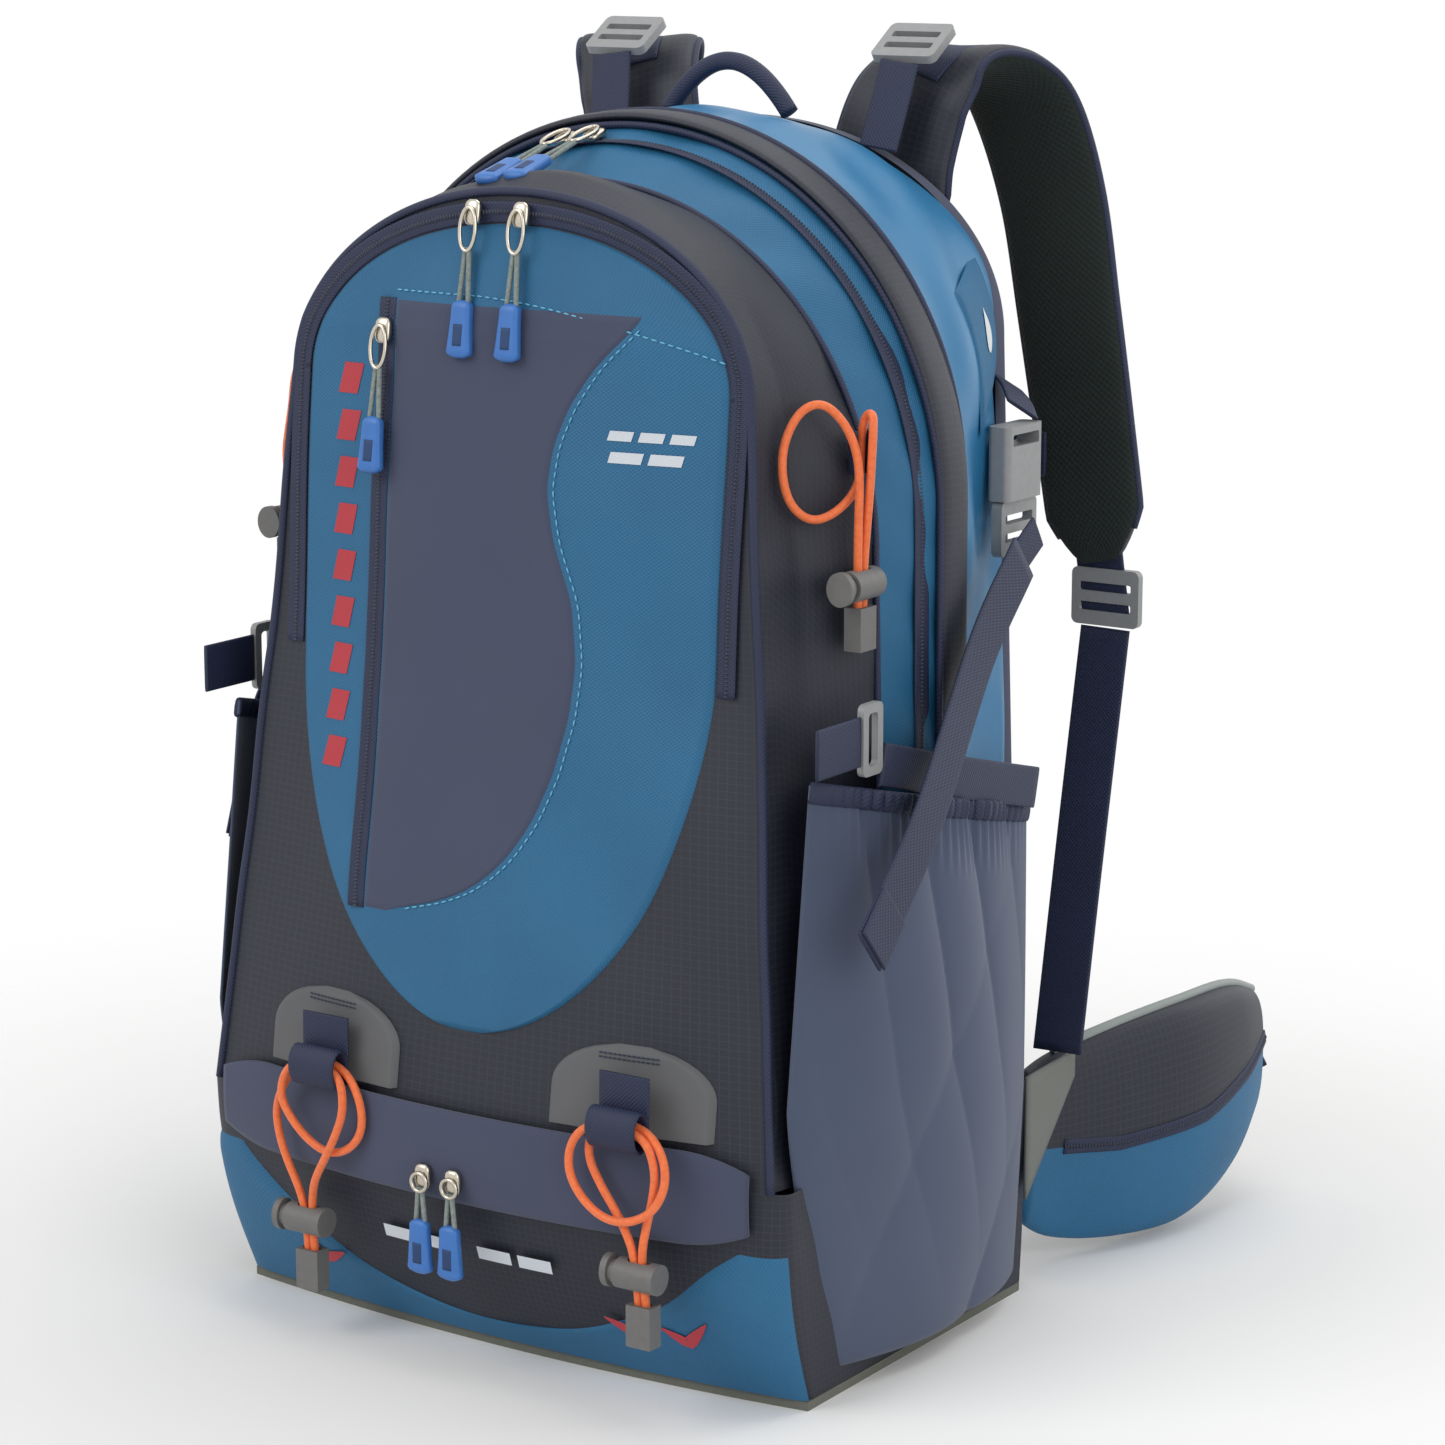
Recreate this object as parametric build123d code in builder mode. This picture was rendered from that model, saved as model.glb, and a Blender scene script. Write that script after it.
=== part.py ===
from build123d import *
import math
import os

os.makedirs("parts", exist_ok=True)

# Frame: millimetres. Origin on the floor under the middle of the base, X across the pack,
# -Y to the front pocket, +Y to the wearer, +Z up.

# ---- driving sizes ---------------------------------------------------------------------------
clearance = 0.3

# The bag body is a row of arched cross-sections, one behind the other along Y.
arch_radius = 155.0          # widest arch, under the storm flap
arch_centre_z = 369.0
gusset_radius = 146.0        # arch where the front pocket is sewn on
gusset_centre_z = 354.0
face_half_width = 117.0      # front pocket face
face_rise = 77.0
face_centre_z = 420.0
edge_half_width = 120.0      # rounded shoulder of the front pocket
edge_rise = 104.0
edge_centre_z = 400.0
back_half_width = 130.0
back_rise = 92.0
back_centre_z = 430.0
base_half_width = 156.0
back_base_half_width = 142.0

front_limit_y = -150.0
face_y = -90.0
edge_y = -70.0
gusset_y = -40.0
arch_y = 5.0
back_y = 82.0

compartment_top_z = 100.0    # bottom compartment under the main one
base_thickness = 4.0
fabric = 1.6                 # coated cloth with its lining
padding = 10.0               # foam back panel
skin = 1.5                   # panels sewn over the front pocket
webbing = 1.6
webbing_width = 25.0
cord_diameter = 3.6
mesh_pad = 8.0

# Front surface of the pack: height, how far forward it is in the middle and at the sides.
front_line = [(101.0, -137.0, -118.0), (300.0, -109.0, -93.0), (440.0, -97.0, -82.0), (540.0, -78.0, -66.0)]
front_side_x = 150.0

# ---- shapes shared by several pieces -----------------------------------------------------------


def section_at(y):
    """Half-width, rise, arch centre height and base half-width of the body at a depth y."""
    rows = [
        (front_limit_y, face_half_width - 5, face_rise - 7, face_centre_z, base_half_width - 10),
        (face_y, face_half_width, face_rise, face_centre_z, base_half_width - 8),
        (edge_y, edge_half_width, edge_rise, edge_centre_z, base_half_width - 6),
        (gusset_y, gusset_radius, gusset_radius, gusset_centre_z, base_half_width - 4),
        (arch_y, arch_radius, arch_radius, arch_centre_z, base_half_width),
        (back_y, back_half_width, back_rise, back_centre_z, back_base_half_width),
        (back_y + 60, back_half_width, back_rise, back_centre_z, back_base_half_width),
    ]
    for low, high in zip(rows, rows[1:]):
        if y <= high[0]:
            share = (y - low[0]) / (high[0] - low[0])
            return [a + share * (b - a) for a, b in zip(low[1:], high[1:])]
    return list(rows[-1][1:])


def arched_block(depths, inset, floor_z):
    """Loft of arched cross-sections at the given depths, each drawn in by inset."""
    with BuildPart() as block:
        for y in depths:
            half, rise, centre_z, base_half = section_at(y)
            half, rise, base_half = half - inset, rise - inset, base_half - inset
            with BuildSketch(Plane.XZ.offset(-y)):
                with BuildLine():
                    Line((-base_half, floor_z), (base_half, floor_z))
                    Line((base_half, floor_z), (half, centre_z))
                    EllipticalCenterArc((0, centre_z), half, rise, start_angle=0, arc_size=180)
                    Line((-half, centre_z), (-base_half, floor_z))
                make_face()
        loft(ruled=True)
    return block.part


def front_block(shift, rear_y, rows):
    """Block behind the curved front surface, the surface moved forward by shift."""
    with BuildPart() as block:
        for z, middle_y, side_y in rows:
            with BuildSketch(Plane.XY.offset(z)):
                with BuildLine():
                    Line((-front_side_x, rear_y), (front_side_x, rear_y))
                    Line((front_side_x, rear_y), (front_side_x, side_y - shift))
                    ThreePointArc(
                        (front_side_x, side_y - shift),
                        (0, middle_y - shift),
                        (-front_side_x, side_y - shift),
                    )
                    Line((-front_side_x, side_y - shift), (-front_side_x, rear_y))
                make_face()
        loft(ruled=True)
    return block.part


def front_y_at(x, z):
    """Depth of the front surface at a place on it."""
    for low, high in zip(front_line, front_line[1:]):
        if z <= high[0]:
            share = (z - low[0]) / (high[0] - low[0])
            middle = low[1] + share * (high[1] - low[1])
            side = low[2] + share * (high[2] - low[2])
            return middle + (side - middle) * (x / front_side_x) ** 2
    return front_line[-1][1]


def strap(start, end, facing, width, thickness):
    """Flat webbing from start to end, its face turned to the direction facing."""
    run = Vector(*end) - Vector(*start)
    along = run.normalized()
    face = Vector(*facing) - along * Vector(*facing).dot(along)
    with BuildPart() as piece:
        with BuildSketch(Plane(origin=start, x_dir=run, z_dir=face)):
            Rectangle(run.length, width, align=(Align.MIN, Align.CENTER))
        extrude(amount=thickness)
    return piece.part


def padded_strip(sections):
    """Loft of rectangles: (origin, width direction, run direction, width, thickness)."""
    with BuildPart() as piece:
        for origin, width_way, run_way, width, thickness in sections:
            with BuildSketch(Plane(origin=origin, x_dir=width_way, z_dir=run_way)):
                Rectangle(width, thickness)
        loft(ruled=True)
    return piece.part


def cord_tube(points):
    """Round cord along straight runs joined by tangent arcs, each as large as its runs allow."""
    corners = [Vector(*point) for point in points]
    radii = []
    for before, corner, after in zip(corners, corners[1:], corners[2:]):
        arriving = corner - before
        leaving = after - corner
        half_turn = math.radians(arriving.get_angle(leaving)) / 2
        radii.append(0.45 * min(arriving.length, leaving.length) / math.tan(half_turn))
    with BuildPart() as tube:
        with BuildLine() as route:
            FilletPolyline(*corners, radius=radii)
        with BuildSketch(Plane(origin=corners[0], z_dir=corners[1] - corners[0])):
            Circle(cord_diameter / 2)
        sweep()
    route_length = sum(edge.length for edge in route.edges())
    expected = math.pi * cord_diameter**2 / 4 * route_length
    print("cord length", round(route_length, 1), "volume share", round(tube.part.volume / expected, 4))
    print("  radii", [round(radius, 1) for radius in radii])
    return tube.part


def save(builder, name):
    """Label a finished piece and write it."""
    builder.part.label = name
    export_step(builder.part, f"parts/{name}.step")


# ---- main compartment ------------------------------------------------------------------------
main_floor_z = compartment_top_z + 1
main_front_y = gusset_y + clearance
with BuildPart() as main_compartment:
    add(arched_block([main_front_y, arch_y, back_y], 0, main_floor_z))
    add(
        arched_block([main_front_y + fabric, arch_y, back_y - fabric], fabric, main_floor_z + fabric),
        mode=Mode.SUBTRACT,
    )
save(main_compartment, "main_compartment")

# Frame sheet and hydration sleeve stand inside, against the back.
frame_sheet_thickness = 1.5
sheet_y = back_y - fabric - clearance - frame_sheet_thickness
with BuildPart() as frame_sheet:
    with BuildSketch(Plane.XZ.offset(-sheet_y - frame_sheet_thickness)):
        with Locations((0, (main_floor_z + back_centre_z) / 2)):
            RectangleRounded(2 * back_half_width - 30, back_centre_z - main_floor_z - 10, 20)
    extrude(amount=frame_sheet_thickness)
save(frame_sheet, "frame_sheet")

sleeve_height = 300.0
sleeve_depth = 6.0
sleeve_y = sheet_y - clearance
with BuildPart() as hydration_sleeve:
    with BuildSketch(Plane.XZ.offset(-sleeve_y)):
        with Locations((0, main_floor_z + fabric + clearance)):
            Rectangle(2 * back_half_width - 60, sleeve_height, align=(Align.CENTER, Align.MIN))
    extrude(amount=sleeve_depth)
    top = faces().sort_by(Axis.Z)[-1]
    offset(amount=-fabric, openings=top)
save(hydration_sleeve, "hydration_sleeve")

# Main zip: a tape that follows the arch just in front of the storm flap.
zip_thickness = 1.2
zip_front_y = -20.0
zip_rear_y = -8.0
zip_foot_z = 190.0
with BuildPart() as main_zip:
    add(arched_block([zip_front_y, zip_rear_y], -clearance - zip_thickness, zip_foot_z))
    add(arched_block([zip_front_y - 1, zip_rear_y + 1], -clearance, zip_foot_z - 10), mode=Mode.SUBTRACT)
save(main_zip, "main_zip")

# Storm flap: a piped arch standing over the rear edge of the zip.
flap_front_y = -5.0
flap_rear_y = 15.0
flap_thickness = 2.4
flap_foot_z = 158.0
with BuildPart() as storm_flap:
    for grow, mode in ((clearance + flap_thickness, Mode.ADD), (clearance, Mode.SUBTRACT)):
        reach = 0 if mode == Mode.ADD else 1
        with BuildSketch(Plane.XZ.offset(-flap_rear_y - reach)):
            with BuildLine():
                half = arch_radius + grow
                foot = base_half_width + grow
                Line((-foot, flap_foot_z - reach), (foot, flap_foot_z - reach))
                Line((foot, flap_foot_z - reach), (half, arch_centre_z))
                CenterArc((0, arch_centre_z), half, 0, 180)
                Line((-half, arch_centre_z), (-foot, flap_foot_z - reach))
            make_face()
        extrude(amount=flap_rear_y - flap_front_y + 2 * reach, mode=mode)
save(storm_flap, "storm_flap")

# ---- front pocket ------------------------------------------------------------------------------
pocket_depths = [front_limit_y, face_y, edge_y, gusset_y]
with BuildPart() as front_pocket:
    add(arched_block(pocket_depths, 0, main_floor_z))
    add(front_block(0, gusset_y, front_line), mode=Mode.INTERSECT)
    with BuildPart(mode=Mode.PRIVATE) as pocket_hollow:
        add(arched_block(pocket_depths, fabric, main_floor_z + fabric))
        add(front_block(-fabric, gusset_y - fabric, front_line), mode=Mode.INTERSECT)
    add(pocket_hollow.part, mode=Mode.SUBTRACT)
save(front_pocket, "front_pocket")


def front_skin():
    """Cloth layer lying on the front pocket, before it is cut into its panels."""
    with BuildPart() as layer:
        add(arched_block(pocket_depths, 1.0, main_floor_z))
        add(front_block(clearance + skin, gusset_y, front_line), mode=Mode.INTERSECT)
        add(front_block(clearance, gusset_y + 1, front_line), mode=Mode.SUBTRACT)
    return layer.part


def cutter(sketch):
    """Bar through the front of the pack with the outline of a sketch in the XZ plane."""
    with BuildPart() as bar:
        add(sketch)
        extrude(amount=200, dir=(0, -1, 0))
    return bar.part


face_panel_half = face_half_width - 9.0
face_panel_top = face_centre_z + face_rise - 12.0
face_foot_z = 149.0
zip_ring_width = 7.0
seam_gap = 0.8
stash_left = -67.0
stash_right = -58.3
stash_foot_z = 193.0
stash_top_z = 452.0


def face_outline(grow):
    """Egg-shaped outline of the front face, grown by an amount."""
    with BuildSketch(Plane.XZ) as outline:
        with BuildLine():
            side = face_panel_half + grow
            rise = face_panel_top - face_centre_z + grow
            foot = (0, face_foot_z - grow)
            Line((side, face_centre_z), (side, 315))
            ThreePointArc((side, 315), (74 + grow * 0.8, 192), foot)
            ThreePointArc(foot, (-74 - grow * 0.8, 192), (-side, 315))
            Line((-side, 315), (-side, face_centre_z))
            EllipticalCenterArc((0, face_centre_z), side, rise, start_angle=0, arc_size=180)
        make_face()
    return outline.sketch


def softshell_outline(grow):
    """Left edge on the vertical zip, right edge waisted, foot swept up to the right."""
    with BuildSketch(Plane.XZ) as outline:
        with BuildLine():
            left = stash_right - grow
            Line((left, stash_top_z + grow), (left, stash_foot_z - grow))
            ThreePointArc((left, stash_foot_z - grow), (15 + grow, 222 - grow), (45 + grow, 308))
            ThreePointArc((45 + grow, 308), (41 + grow, 335), (30 + grow, 357))
            ThreePointArc((30 + grow, 357), (28 + grow, 397), (76 + grow, 446 + grow))
            Line((76 + grow, 446 + grow), (left, stash_top_z + grow))
        make_face()
    return outline.sketch


with BuildSketch(Plane.XZ) as stash_strip:
    # The tape stands its clearance off the softshell's left edge.
    with Locations(((stash_left + stash_right) / 2 - clearance, (stash_foot_z + stash_top_z) / 2)):
        Rectangle(stash_right - stash_left, stash_top_z - stash_foot_z)

with BuildPart() as face_panel:
    add(front_skin())
    add(cutter(face_outline(0)), mode=Mode.INTERSECT)
    add(cutter(softshell_outline(seam_gap)), mode=Mode.SUBTRACT)
    with BuildPart(mode=Mode.PRIVATE) as stash_gap:
        with BuildSketch(Plane.XZ):
            with Locations(((stash_left + stash_right) / 2, (stash_foot_z + stash_top_z) / 2)):
                Rectangle(stash_right - stash_left + 1.5, stash_top_z - stash_foot_z + 1)
        extrude(amount=200)
    add(stash_gap.part, mode=Mode.SUBTRACT)
save(face_panel, "face_panel")

with BuildPart() as softshell_panel:
    add(front_skin())
    add(cutter(softshell_outline(0)), mode=Mode.INTERSECT)
save(softshell_panel, "softshell_panel")

# Zip tapes of the front pocket: the arch around the face, and the vertical one beside the softshell.
ring_foot_z = 300.0
with BuildPart() as front_zips:
    add(front_skin())
    add(cutter(face_outline(clearance + zip_ring_width)), mode=Mode.INTERSECT)
    add(cutter(face_outline(clearance)), mode=Mode.SUBTRACT)
    with BuildPart(mode=Mode.PRIVATE) as below_ring:
        with BuildSketch(Plane.XZ):
            Rectangle(400, ring_foot_z, align=(Align.CENTER, Align.MIN))
        extrude(amount=200)
    add(below_ring.part, mode=Mode.SUBTRACT)
    with BuildPart(mode=Mode.PRIVATE) as stash_zip:
        add(front_skin())
        add(cutter(stash_strip.sketch), mode=Mode.INTERSECT)
    add(stash_zip.part)
save(front_zips, "front_zips")

with BuildPart() as lower_front_panel:
    add(front_skin())
    with BuildPart(mode=Mode.PRIVATE) as low_zone:
        with BuildSketch(Plane.XZ):
            Rectangle(400, ring_foot_z - clearance, align=(Align.CENTER, Align.MIN))
        extrude(amount=200)
    add(low_zone.part, mode=Mode.INTERSECT)
    add(cutter(face_outline(clearance)), mode=Mode.SUBTRACT)
save(lower_front_panel, "lower_front_panel")

# ---- bottom compartment --------------------------------------------------------------------------
foot_half_width = 150.0
foot_front_y = -105.0
foot_side_y = -94.0


bottom_front_y = -136.0
bottom_side_y = -117.0


def bottom_block(inset, low_z, high_z):
    """Block of the bottom compartment, drawn in by inset."""
    rows = [(foot_half_width, foot_front_y, foot_side_y)]
    rows.append((base_half_width - 2, bottom_front_y, bottom_side_y))
    with BuildPart() as block:
        for (half, middle_y, edge_side_y), level in zip(rows, (low_z, high_z)):
            side, front = half - inset, middle_y + inset
            flank, rear = edge_side_y + inset, back_y - inset
            with BuildSketch(Plane.XY.offset(level)):
                with BuildLine():
                    Line((-side, rear), (side, rear))
                    Line((side, rear), (side, flank))
                    ThreePointArc((side, flank), (0, front), (-side, flank))
                    Line((-side, flank), (-side, rear))
                make_face()
        loft(ruled=True)
    return block.part


bottom_floor_z = base_thickness + clearance
with BuildPart() as bottom_compartment:
    add(bottom_block(0, bottom_floor_z, compartment_top_z))
    add(bottom_block(fabric, bottom_floor_z + fabric, compartment_top_z - fabric), mode=Mode.SUBTRACT)
save(bottom_compartment, "bottom_compartment")

with BuildPart() as base_panel:
    with BuildSketch(Plane.XY):
        with BuildLine():
            Line((-foot_half_width, back_y), (foot_half_width, back_y))
            Line((foot_half_width, back_y), (foot_half_width, foot_side_y))
            ThreePointArc(
                (foot_half_width, foot_side_y), (0, foot_front_y), (-foot_half_width, foot_side_y)
            )
            Line((-foot_half_width, foot_side_y), (-foot_half_width, back_y))
        make_face()
    extrude(amount=base_thickness)
save(base_panel, "base_panel")

# Cover band over the zip of the bottom compartment, a strip round the front.
band_foot_z = 76.0
band_top_z = 116.0
band_thickness = 2.0
band_half = 140.0
band_rows = [(band_foot_z, -137.0, -118.0), (band_top_z, -137.0, -118.0)]
with BuildPart() as zip_cover_band:
    add(front_block(clearance + skin + clearance + band_thickness, gusset_y, band_rows))
    taller_rows = [(band_foot_z - 1, -137.0, -118.0), (band_top_z + 1, -137.0, -118.0)]
    add(front_block(clearance + skin + clearance, gusset_y + 1, taller_rows), mode=Mode.SUBTRACT)
    with BuildPart(mode=Mode.PRIVATE) as band_zone:
        with BuildSketch(Plane.XZ):
            with Locations((0, (band_foot_z + band_top_z) / 2)):
                Rectangle(2 * band_half, band_top_z - band_foot_z)
        extrude(amount=200)
    add(band_zone.part, mode=Mode.INTERSECT)
save(zip_cover_band, "zip_cover_band")

# ---- side pockets ---------------------------------------------------------------------------------
pocket_inner_x = base_half_width - 2.0 + clearance
pocket_bulge = 20.0
pocket_front_y = -112.0
pocket_rear_y = 78.0
pocket_foot_z = 12.0
hem_front_z = 268.0
hem_rear_z = 226.0


def side_pocket():
    """Right side pocket: a bowed outer wall on a floor, open at its slanting hem."""
    middle_y = (pocket_front_y + pocket_rear_y) / 2
    outer_x = pocket_inner_x + pocket_bulge
    with BuildPart() as pocket:
        with BuildSketch(Plane.XY.offset(pocket_foot_z)):
            with BuildLine():
                ThreePointArc(
                    (pocket_inner_x, pocket_front_y), (outer_x, middle_y), (pocket_inner_x, pocket_rear_y)
                )
                Line((pocket_inner_x, pocket_rear_y), (pocket_inner_x, pocket_rear_y - 2 * fabric))
                ThreePointArc(
                    (pocket_inner_x, pocket_rear_y - 2 * fabric),
                    (outer_x - fabric, middle_y),
                    (pocket_inner_x, pocket_front_y + 2 * fabric),
                )
                Line((pocket_inner_x, pocket_front_y + 2 * fabric), (pocket_inner_x, pocket_front_y))
            make_face()
        extrude(amount=hem_front_z)
        with BuildSketch(Plane.XY.offset(pocket_foot_z)):
            with BuildLine():
                ThreePointArc(
                    (pocket_inner_x, pocket_front_y), (outer_x, middle_y), (pocket_inner_x, pocket_rear_y)
                )
                Line((pocket_inner_x, pocket_rear_y), (pocket_inner_x, pocket_front_y))
            make_face()
        extrude(amount=fabric)
        hem_run = Vector(0, pocket_rear_y - pocket_front_y, hem_rear_z - hem_front_z)
        hem_plane = Plane(
            origin=(0, pocket_front_y, hem_front_z), x_dir=(1, 0, 0), z_dir=Vector(1, 0, 0).cross(hem_run)
        )
        split(bisect_by=hem_plane, keep=Keep.BOTTOM)
    return pocket.part


with BuildPart() as side_pocket_right:
    add(side_pocket())
save(side_pocket_right, "side_pocket_right")
with BuildPart() as side_pocket_left:
    mirror(side_pocket_right.part, about=Plane.YZ)
save(side_pocket_left, "side_pocket_left")

# ---- back ----------------------------------------------------------------------------------------
panel_y = back_y + clearance
with BuildPart() as back_panel:
    add(arched_block([panel_y, panel_y + padding], 0, base_thickness + clearance))
save(back_panel, "back_panel")

# Two mesh columns and a lumbar pad on the wearer's side.
pad_y = panel_y + padding + clearance
column_width = 70.0
column_offset = 55.0
column_foot_z = 135.0
column_top_z = 440.0
lumbar_width = 190.0
with BuildPart() as back_pads:
    with BuildSketch(Plane.XZ.offset(-pad_y - mesh_pad)):
        column_middle_z = (column_foot_z + column_top_z) / 2
        with Locations((-column_offset, column_middle_z), (column_offset, column_middle_z)):
            RectangleRounded(column_width, column_top_z - column_foot_z, 25)
        with Locations((0, 77.0)):
            RectangleRounded(lumbar_width, 100, 30)
    extrude(amount=mesh_pad)
save(back_pads, "back_pads")

# ---- webbing, cords and their hardware -------------------------------------------------------------
# Two lash patches and their loops low on the front, two lash loops on the sides.
lash_places = ((-72.0, -69.0), (84.0, 88.5))   # patch centre and loop centre across the pack
patch_width = 76.0
patch_height = 36.0
patch_foot_z = 119.0
loop_foot_z = 117.0
loop_height = 16.0
loop_gap = 8.5
patch_seat = skin + 2 * clearance + 0.4
patch_front_y = front_y_at(lash_places[0][0] + patch_width / 2, patch_foot_z) - patch_seat - fabric
with BuildPart() as lash_patches:
    for patch_x, _ in lash_places:
        inner_edge = abs(patch_x) - patch_width / 2
        patch_rear_y = front_y_at(inner_edge, patch_foot_z) - patch_seat
        with BuildSketch(Plane.XZ.offset(-patch_rear_y)):
            with Locations((patch_x, patch_foot_z)):
                Rectangle(patch_width, patch_height / 2, align=(Align.CENTER, Align.MIN))
            with Locations((patch_x, patch_foot_z + patch_height / 2)):
                SlotOverall(patch_width, patch_height)
        extrude(amount=patch_rear_y - patch_front_y)
save(lash_patches, "lash_patches")

loop_rear_y = patch_front_y - clearance
side_loop_seat = (140.4, -45.0)
side_loop_reach = 10.0
side_loop_way = (0.742, -0.67)
side_loop_z = 397.0
side_loop_height = 21.0
with BuildPart() as webbing_loops:
    for _, loop_x in lash_places:
        with BuildSketch(Plane.YZ.offset(loop_x - webbing_width / 2)):
            with Locations((loop_rear_y, loop_foot_z)):
                Rectangle(loop_gap + 2 * webbing, loop_height, align=(Align.MAX, Align.MIN))
            with Locations((loop_rear_y - webbing, loop_foot_z + webbing)):
                Rectangle(loop_gap, loop_height - 2 * webbing, align=(Align.MAX, Align.MIN), mode=Mode.SUBTRACT)
            with Locations((loop_rear_y, loop_foot_z + loop_height)):
                Rectangle(webbing, 12, align=(Align.MAX, Align.MIN))
        extrude(amount=webbing_width)
    for side in (-1, 1):
        seat = Plane(
            origin=(side * side_loop_seat[0], side_loop_seat[1], side_loop_z - side_loop_height / 2),
            x_dir=(side * side_loop_way[0], side_loop_way[1], 0),
            z_dir=(0, 0, 1),
        )
        with BuildSketch(seat):
            Rectangle(side_loop_reach, 8, align=(Align.MIN, Align.CENTER))
            with Locations((webbing, 0)):
                Rectangle(
                    side_loop_reach - 2 * webbing,
                    8 - 2 * webbing,
                    align=(Align.MIN, Align.CENTER),
                    mode=Mode.SUBTRACT,
                )
        extrude(amount=side_loop_height)
save(webbing_loops, "webbing_loops")

# Elastic cords: each runs from its cord end through the lock, through the loop and back.
cord_routes = {
    "bungee_front_right": [
        (99.0, -143.4, 48), (98.4, -143.4, 57), (97.2, -143.4, 66), (95.4, -143.2, 76),
        (88, -142.6, 88), (79, -142.2, 99), (72, -142.0, 111), (75, -141.8, 124.0),
        (88, -141.7, 127.4), (101.5, -141.7, 126.6), (110, -142.0, 118), (112.5, -142.8, 106),
        (108, -144.8, 94), (97, -146.2, 87), (84, -146.4, 86), (72, -146.2, 93),
        (65, -146.0, 104), (66.5, -146.0, 116.5), (75, -145.8, 125.4), (89, -145.7, 126.6),
        (103.5, -145.2, 124.4), (107.5, -143.4, 111), (105, -141.8, 98), (102, -141.6, 87),
        (100.2, -142.8, 76), (100.7, -143.4, 66), (101.8, -143.4, 57), (103.0, -143.4, 48),
    ],
    "bungee_front_left": [
        (-80.0, -139.9, 38), (-80.5, -139.9, 47), (-81.5, -139.9, 57), (-84.5, -140.2, 67),
        (-90, -141.0, 78), (-94, -141.6, 90), (-95, -142.0, 102), (-90, -142.0, 114),
        (-82.5, -141.8, 125.0), (-69, -141.7, 128.0), (-55.5, -141.8, 125.0),
        (-48, -142.0, 114), (-46, -142.4, 101), (-52, -142.8, 91), (-64, -143.0, 86),
        (-75, -143.4, 90), (-84, -144.8, 99), (-90, -145.6, 110), (-84.5, -145.8, 124.2),
        (-70, -145.8, 126.6), (-55.5, -146.0, 124.2), (-53, -146.6, 109), (-58, -147.2, 96),
        (-65, -146.4, 84), (-73, -143.4, 73), (-77.0, -140.2, 63), (-77.4, -139.9, 53),
        (-76.8, -139.9, 43), (-76.0, -139.9, 35),
    ],
    "bungee_side_right": [
        (149.0, -58.0, 333), (149.0, -58.0, 344), (148.8, -57.8, 356), (148.4, -56.8, 370),
        (148.4, -56.0, 385), (147.3, -56.2, 398), (142.4, -58.0, 410), (135, -63.0, 418.5),
        (128.5, -70, 415.5), (124.8, -76.5, 403), (125.2, -78.5, 389), (128, -76, 376.5),
        (133.5, -68, 369.5), (139.5, -57.5, 373.5), (143.6, -48.9, 383), (144, -48.4, 394),
        (144.2, -48.3, 404.5), (146, -48.0, 412.5), (150.6, -49.6, 413.5), (151.8, -51.5, 406),
        (151.5, -51.9, 396), (151.0, -52.3, 383), (150.2, -53.0, 369), (149.4, -53.6, 356),
        (149, -53.8, 344), (149, -53.8, 333),
    ],
    "bungee_side_left": [
        (-150.5, -58.6, 335), (-150.5, -58.6, 346), (-150.7, -58.5, 356), (-150, -57.6, 365),
        (-147, -53.6, 374), (-143.8, -48.9, 383.5), (-144, -48.4, 395), (-144.2, -48.3, 405),
        (-146, -48.0, 412.5), (-150.6, -49.6, 413.5), (-151.9, -51.5, 406), (-152, -52.8, 396),
        (-153.4, -54, 385), (-155, -54.6, 374), (-153.8, -54.6, 363), (-151.0, -54.6, 353),
        (-150.5, -54.6, 343), (-150.5, -54.6, 334),
    ],
}
for name, points in cord_routes.items():
    with BuildPart() as bungee:
        add(cord_tube(points))
    save(bungee, name)

# Cord locks: a barrel with a cross slot for two strands, a sprung button and its spring; cord ends below.
lock_places = {
    "front_right": ((99.3, -143.4, 64.0), (1, 0, 0), (101.0, -143.4, 52.0)),
    "front_left": ((-79.4, -139.9, 53.0), (1, 0, 0), (-78.0, -139.9, 40.0)),
    "side_right": ((149.0, -55.9, 344.0), (0, 1, 0), (149.0, -55.9, 335.0)),
    "side_left": ((-150.5, -56.7, 345.0), (0, 1, 0), (-150.5, -56.7, 336.5)),
}
barrel_length = 20.0
barrel_radius = 6.5
bore_radius = 5.2
plunger_radius = 4.9
button_travel = 3.0
strand_span = 2 * cord_diameter + 2.2
spring_length = 4.0
spring_radius = 2.9
spring_wire = 1.0
spring_room = 0.4            # round the spring, inside the plunger's bore
slot_depth = cord_diameter + 0.8
tip_width = 12.0
tip_thickness = 8.0
tip_height = 18.0


def lock_plane(place, way):
    """Plane across the barrel, its normal along the barrel from button to closed end."""
    return Plane(origin=place, x_dir=(0, 0, 1), z_dir=way)


with BuildPart() as cord_locks:
    for place, way, _ in lock_places.values():
        front = lock_plane(place, way)
        with BuildSketch(front.offset(-barrel_length / 2)):
            Circle(barrel_radius)
        extrude(amount=barrel_length)
        with BuildSketch(front.offset(-barrel_length / 2)):
            Circle(bore_radius)
        extrude(amount=barrel_length - fabric, mode=Mode.SUBTRACT)
        with BuildSketch(Plane(origin=place, x_dir=way, z_dir=(0, 0, 1))):
            SlotOverall(strand_span + 2, slot_depth)
        extrude(amount=barrel_radius + 1, both=True, mode=Mode.SUBTRACT)
save(cord_locks, "cord_locks")

with BuildPart() as lock_springs:
    for place, way, _ in lock_places.values():
        seat = lock_plane(place, way).offset(barrel_length / 2 - fabric - clearance)
        with BuildSketch(seat):
            Circle(spring_radius)
            Circle(spring_radius - spring_wire, mode=Mode.SUBTRACT)
        extrude(amount=-(spring_length - clearance))
save(lock_springs, "lock_springs")

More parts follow.
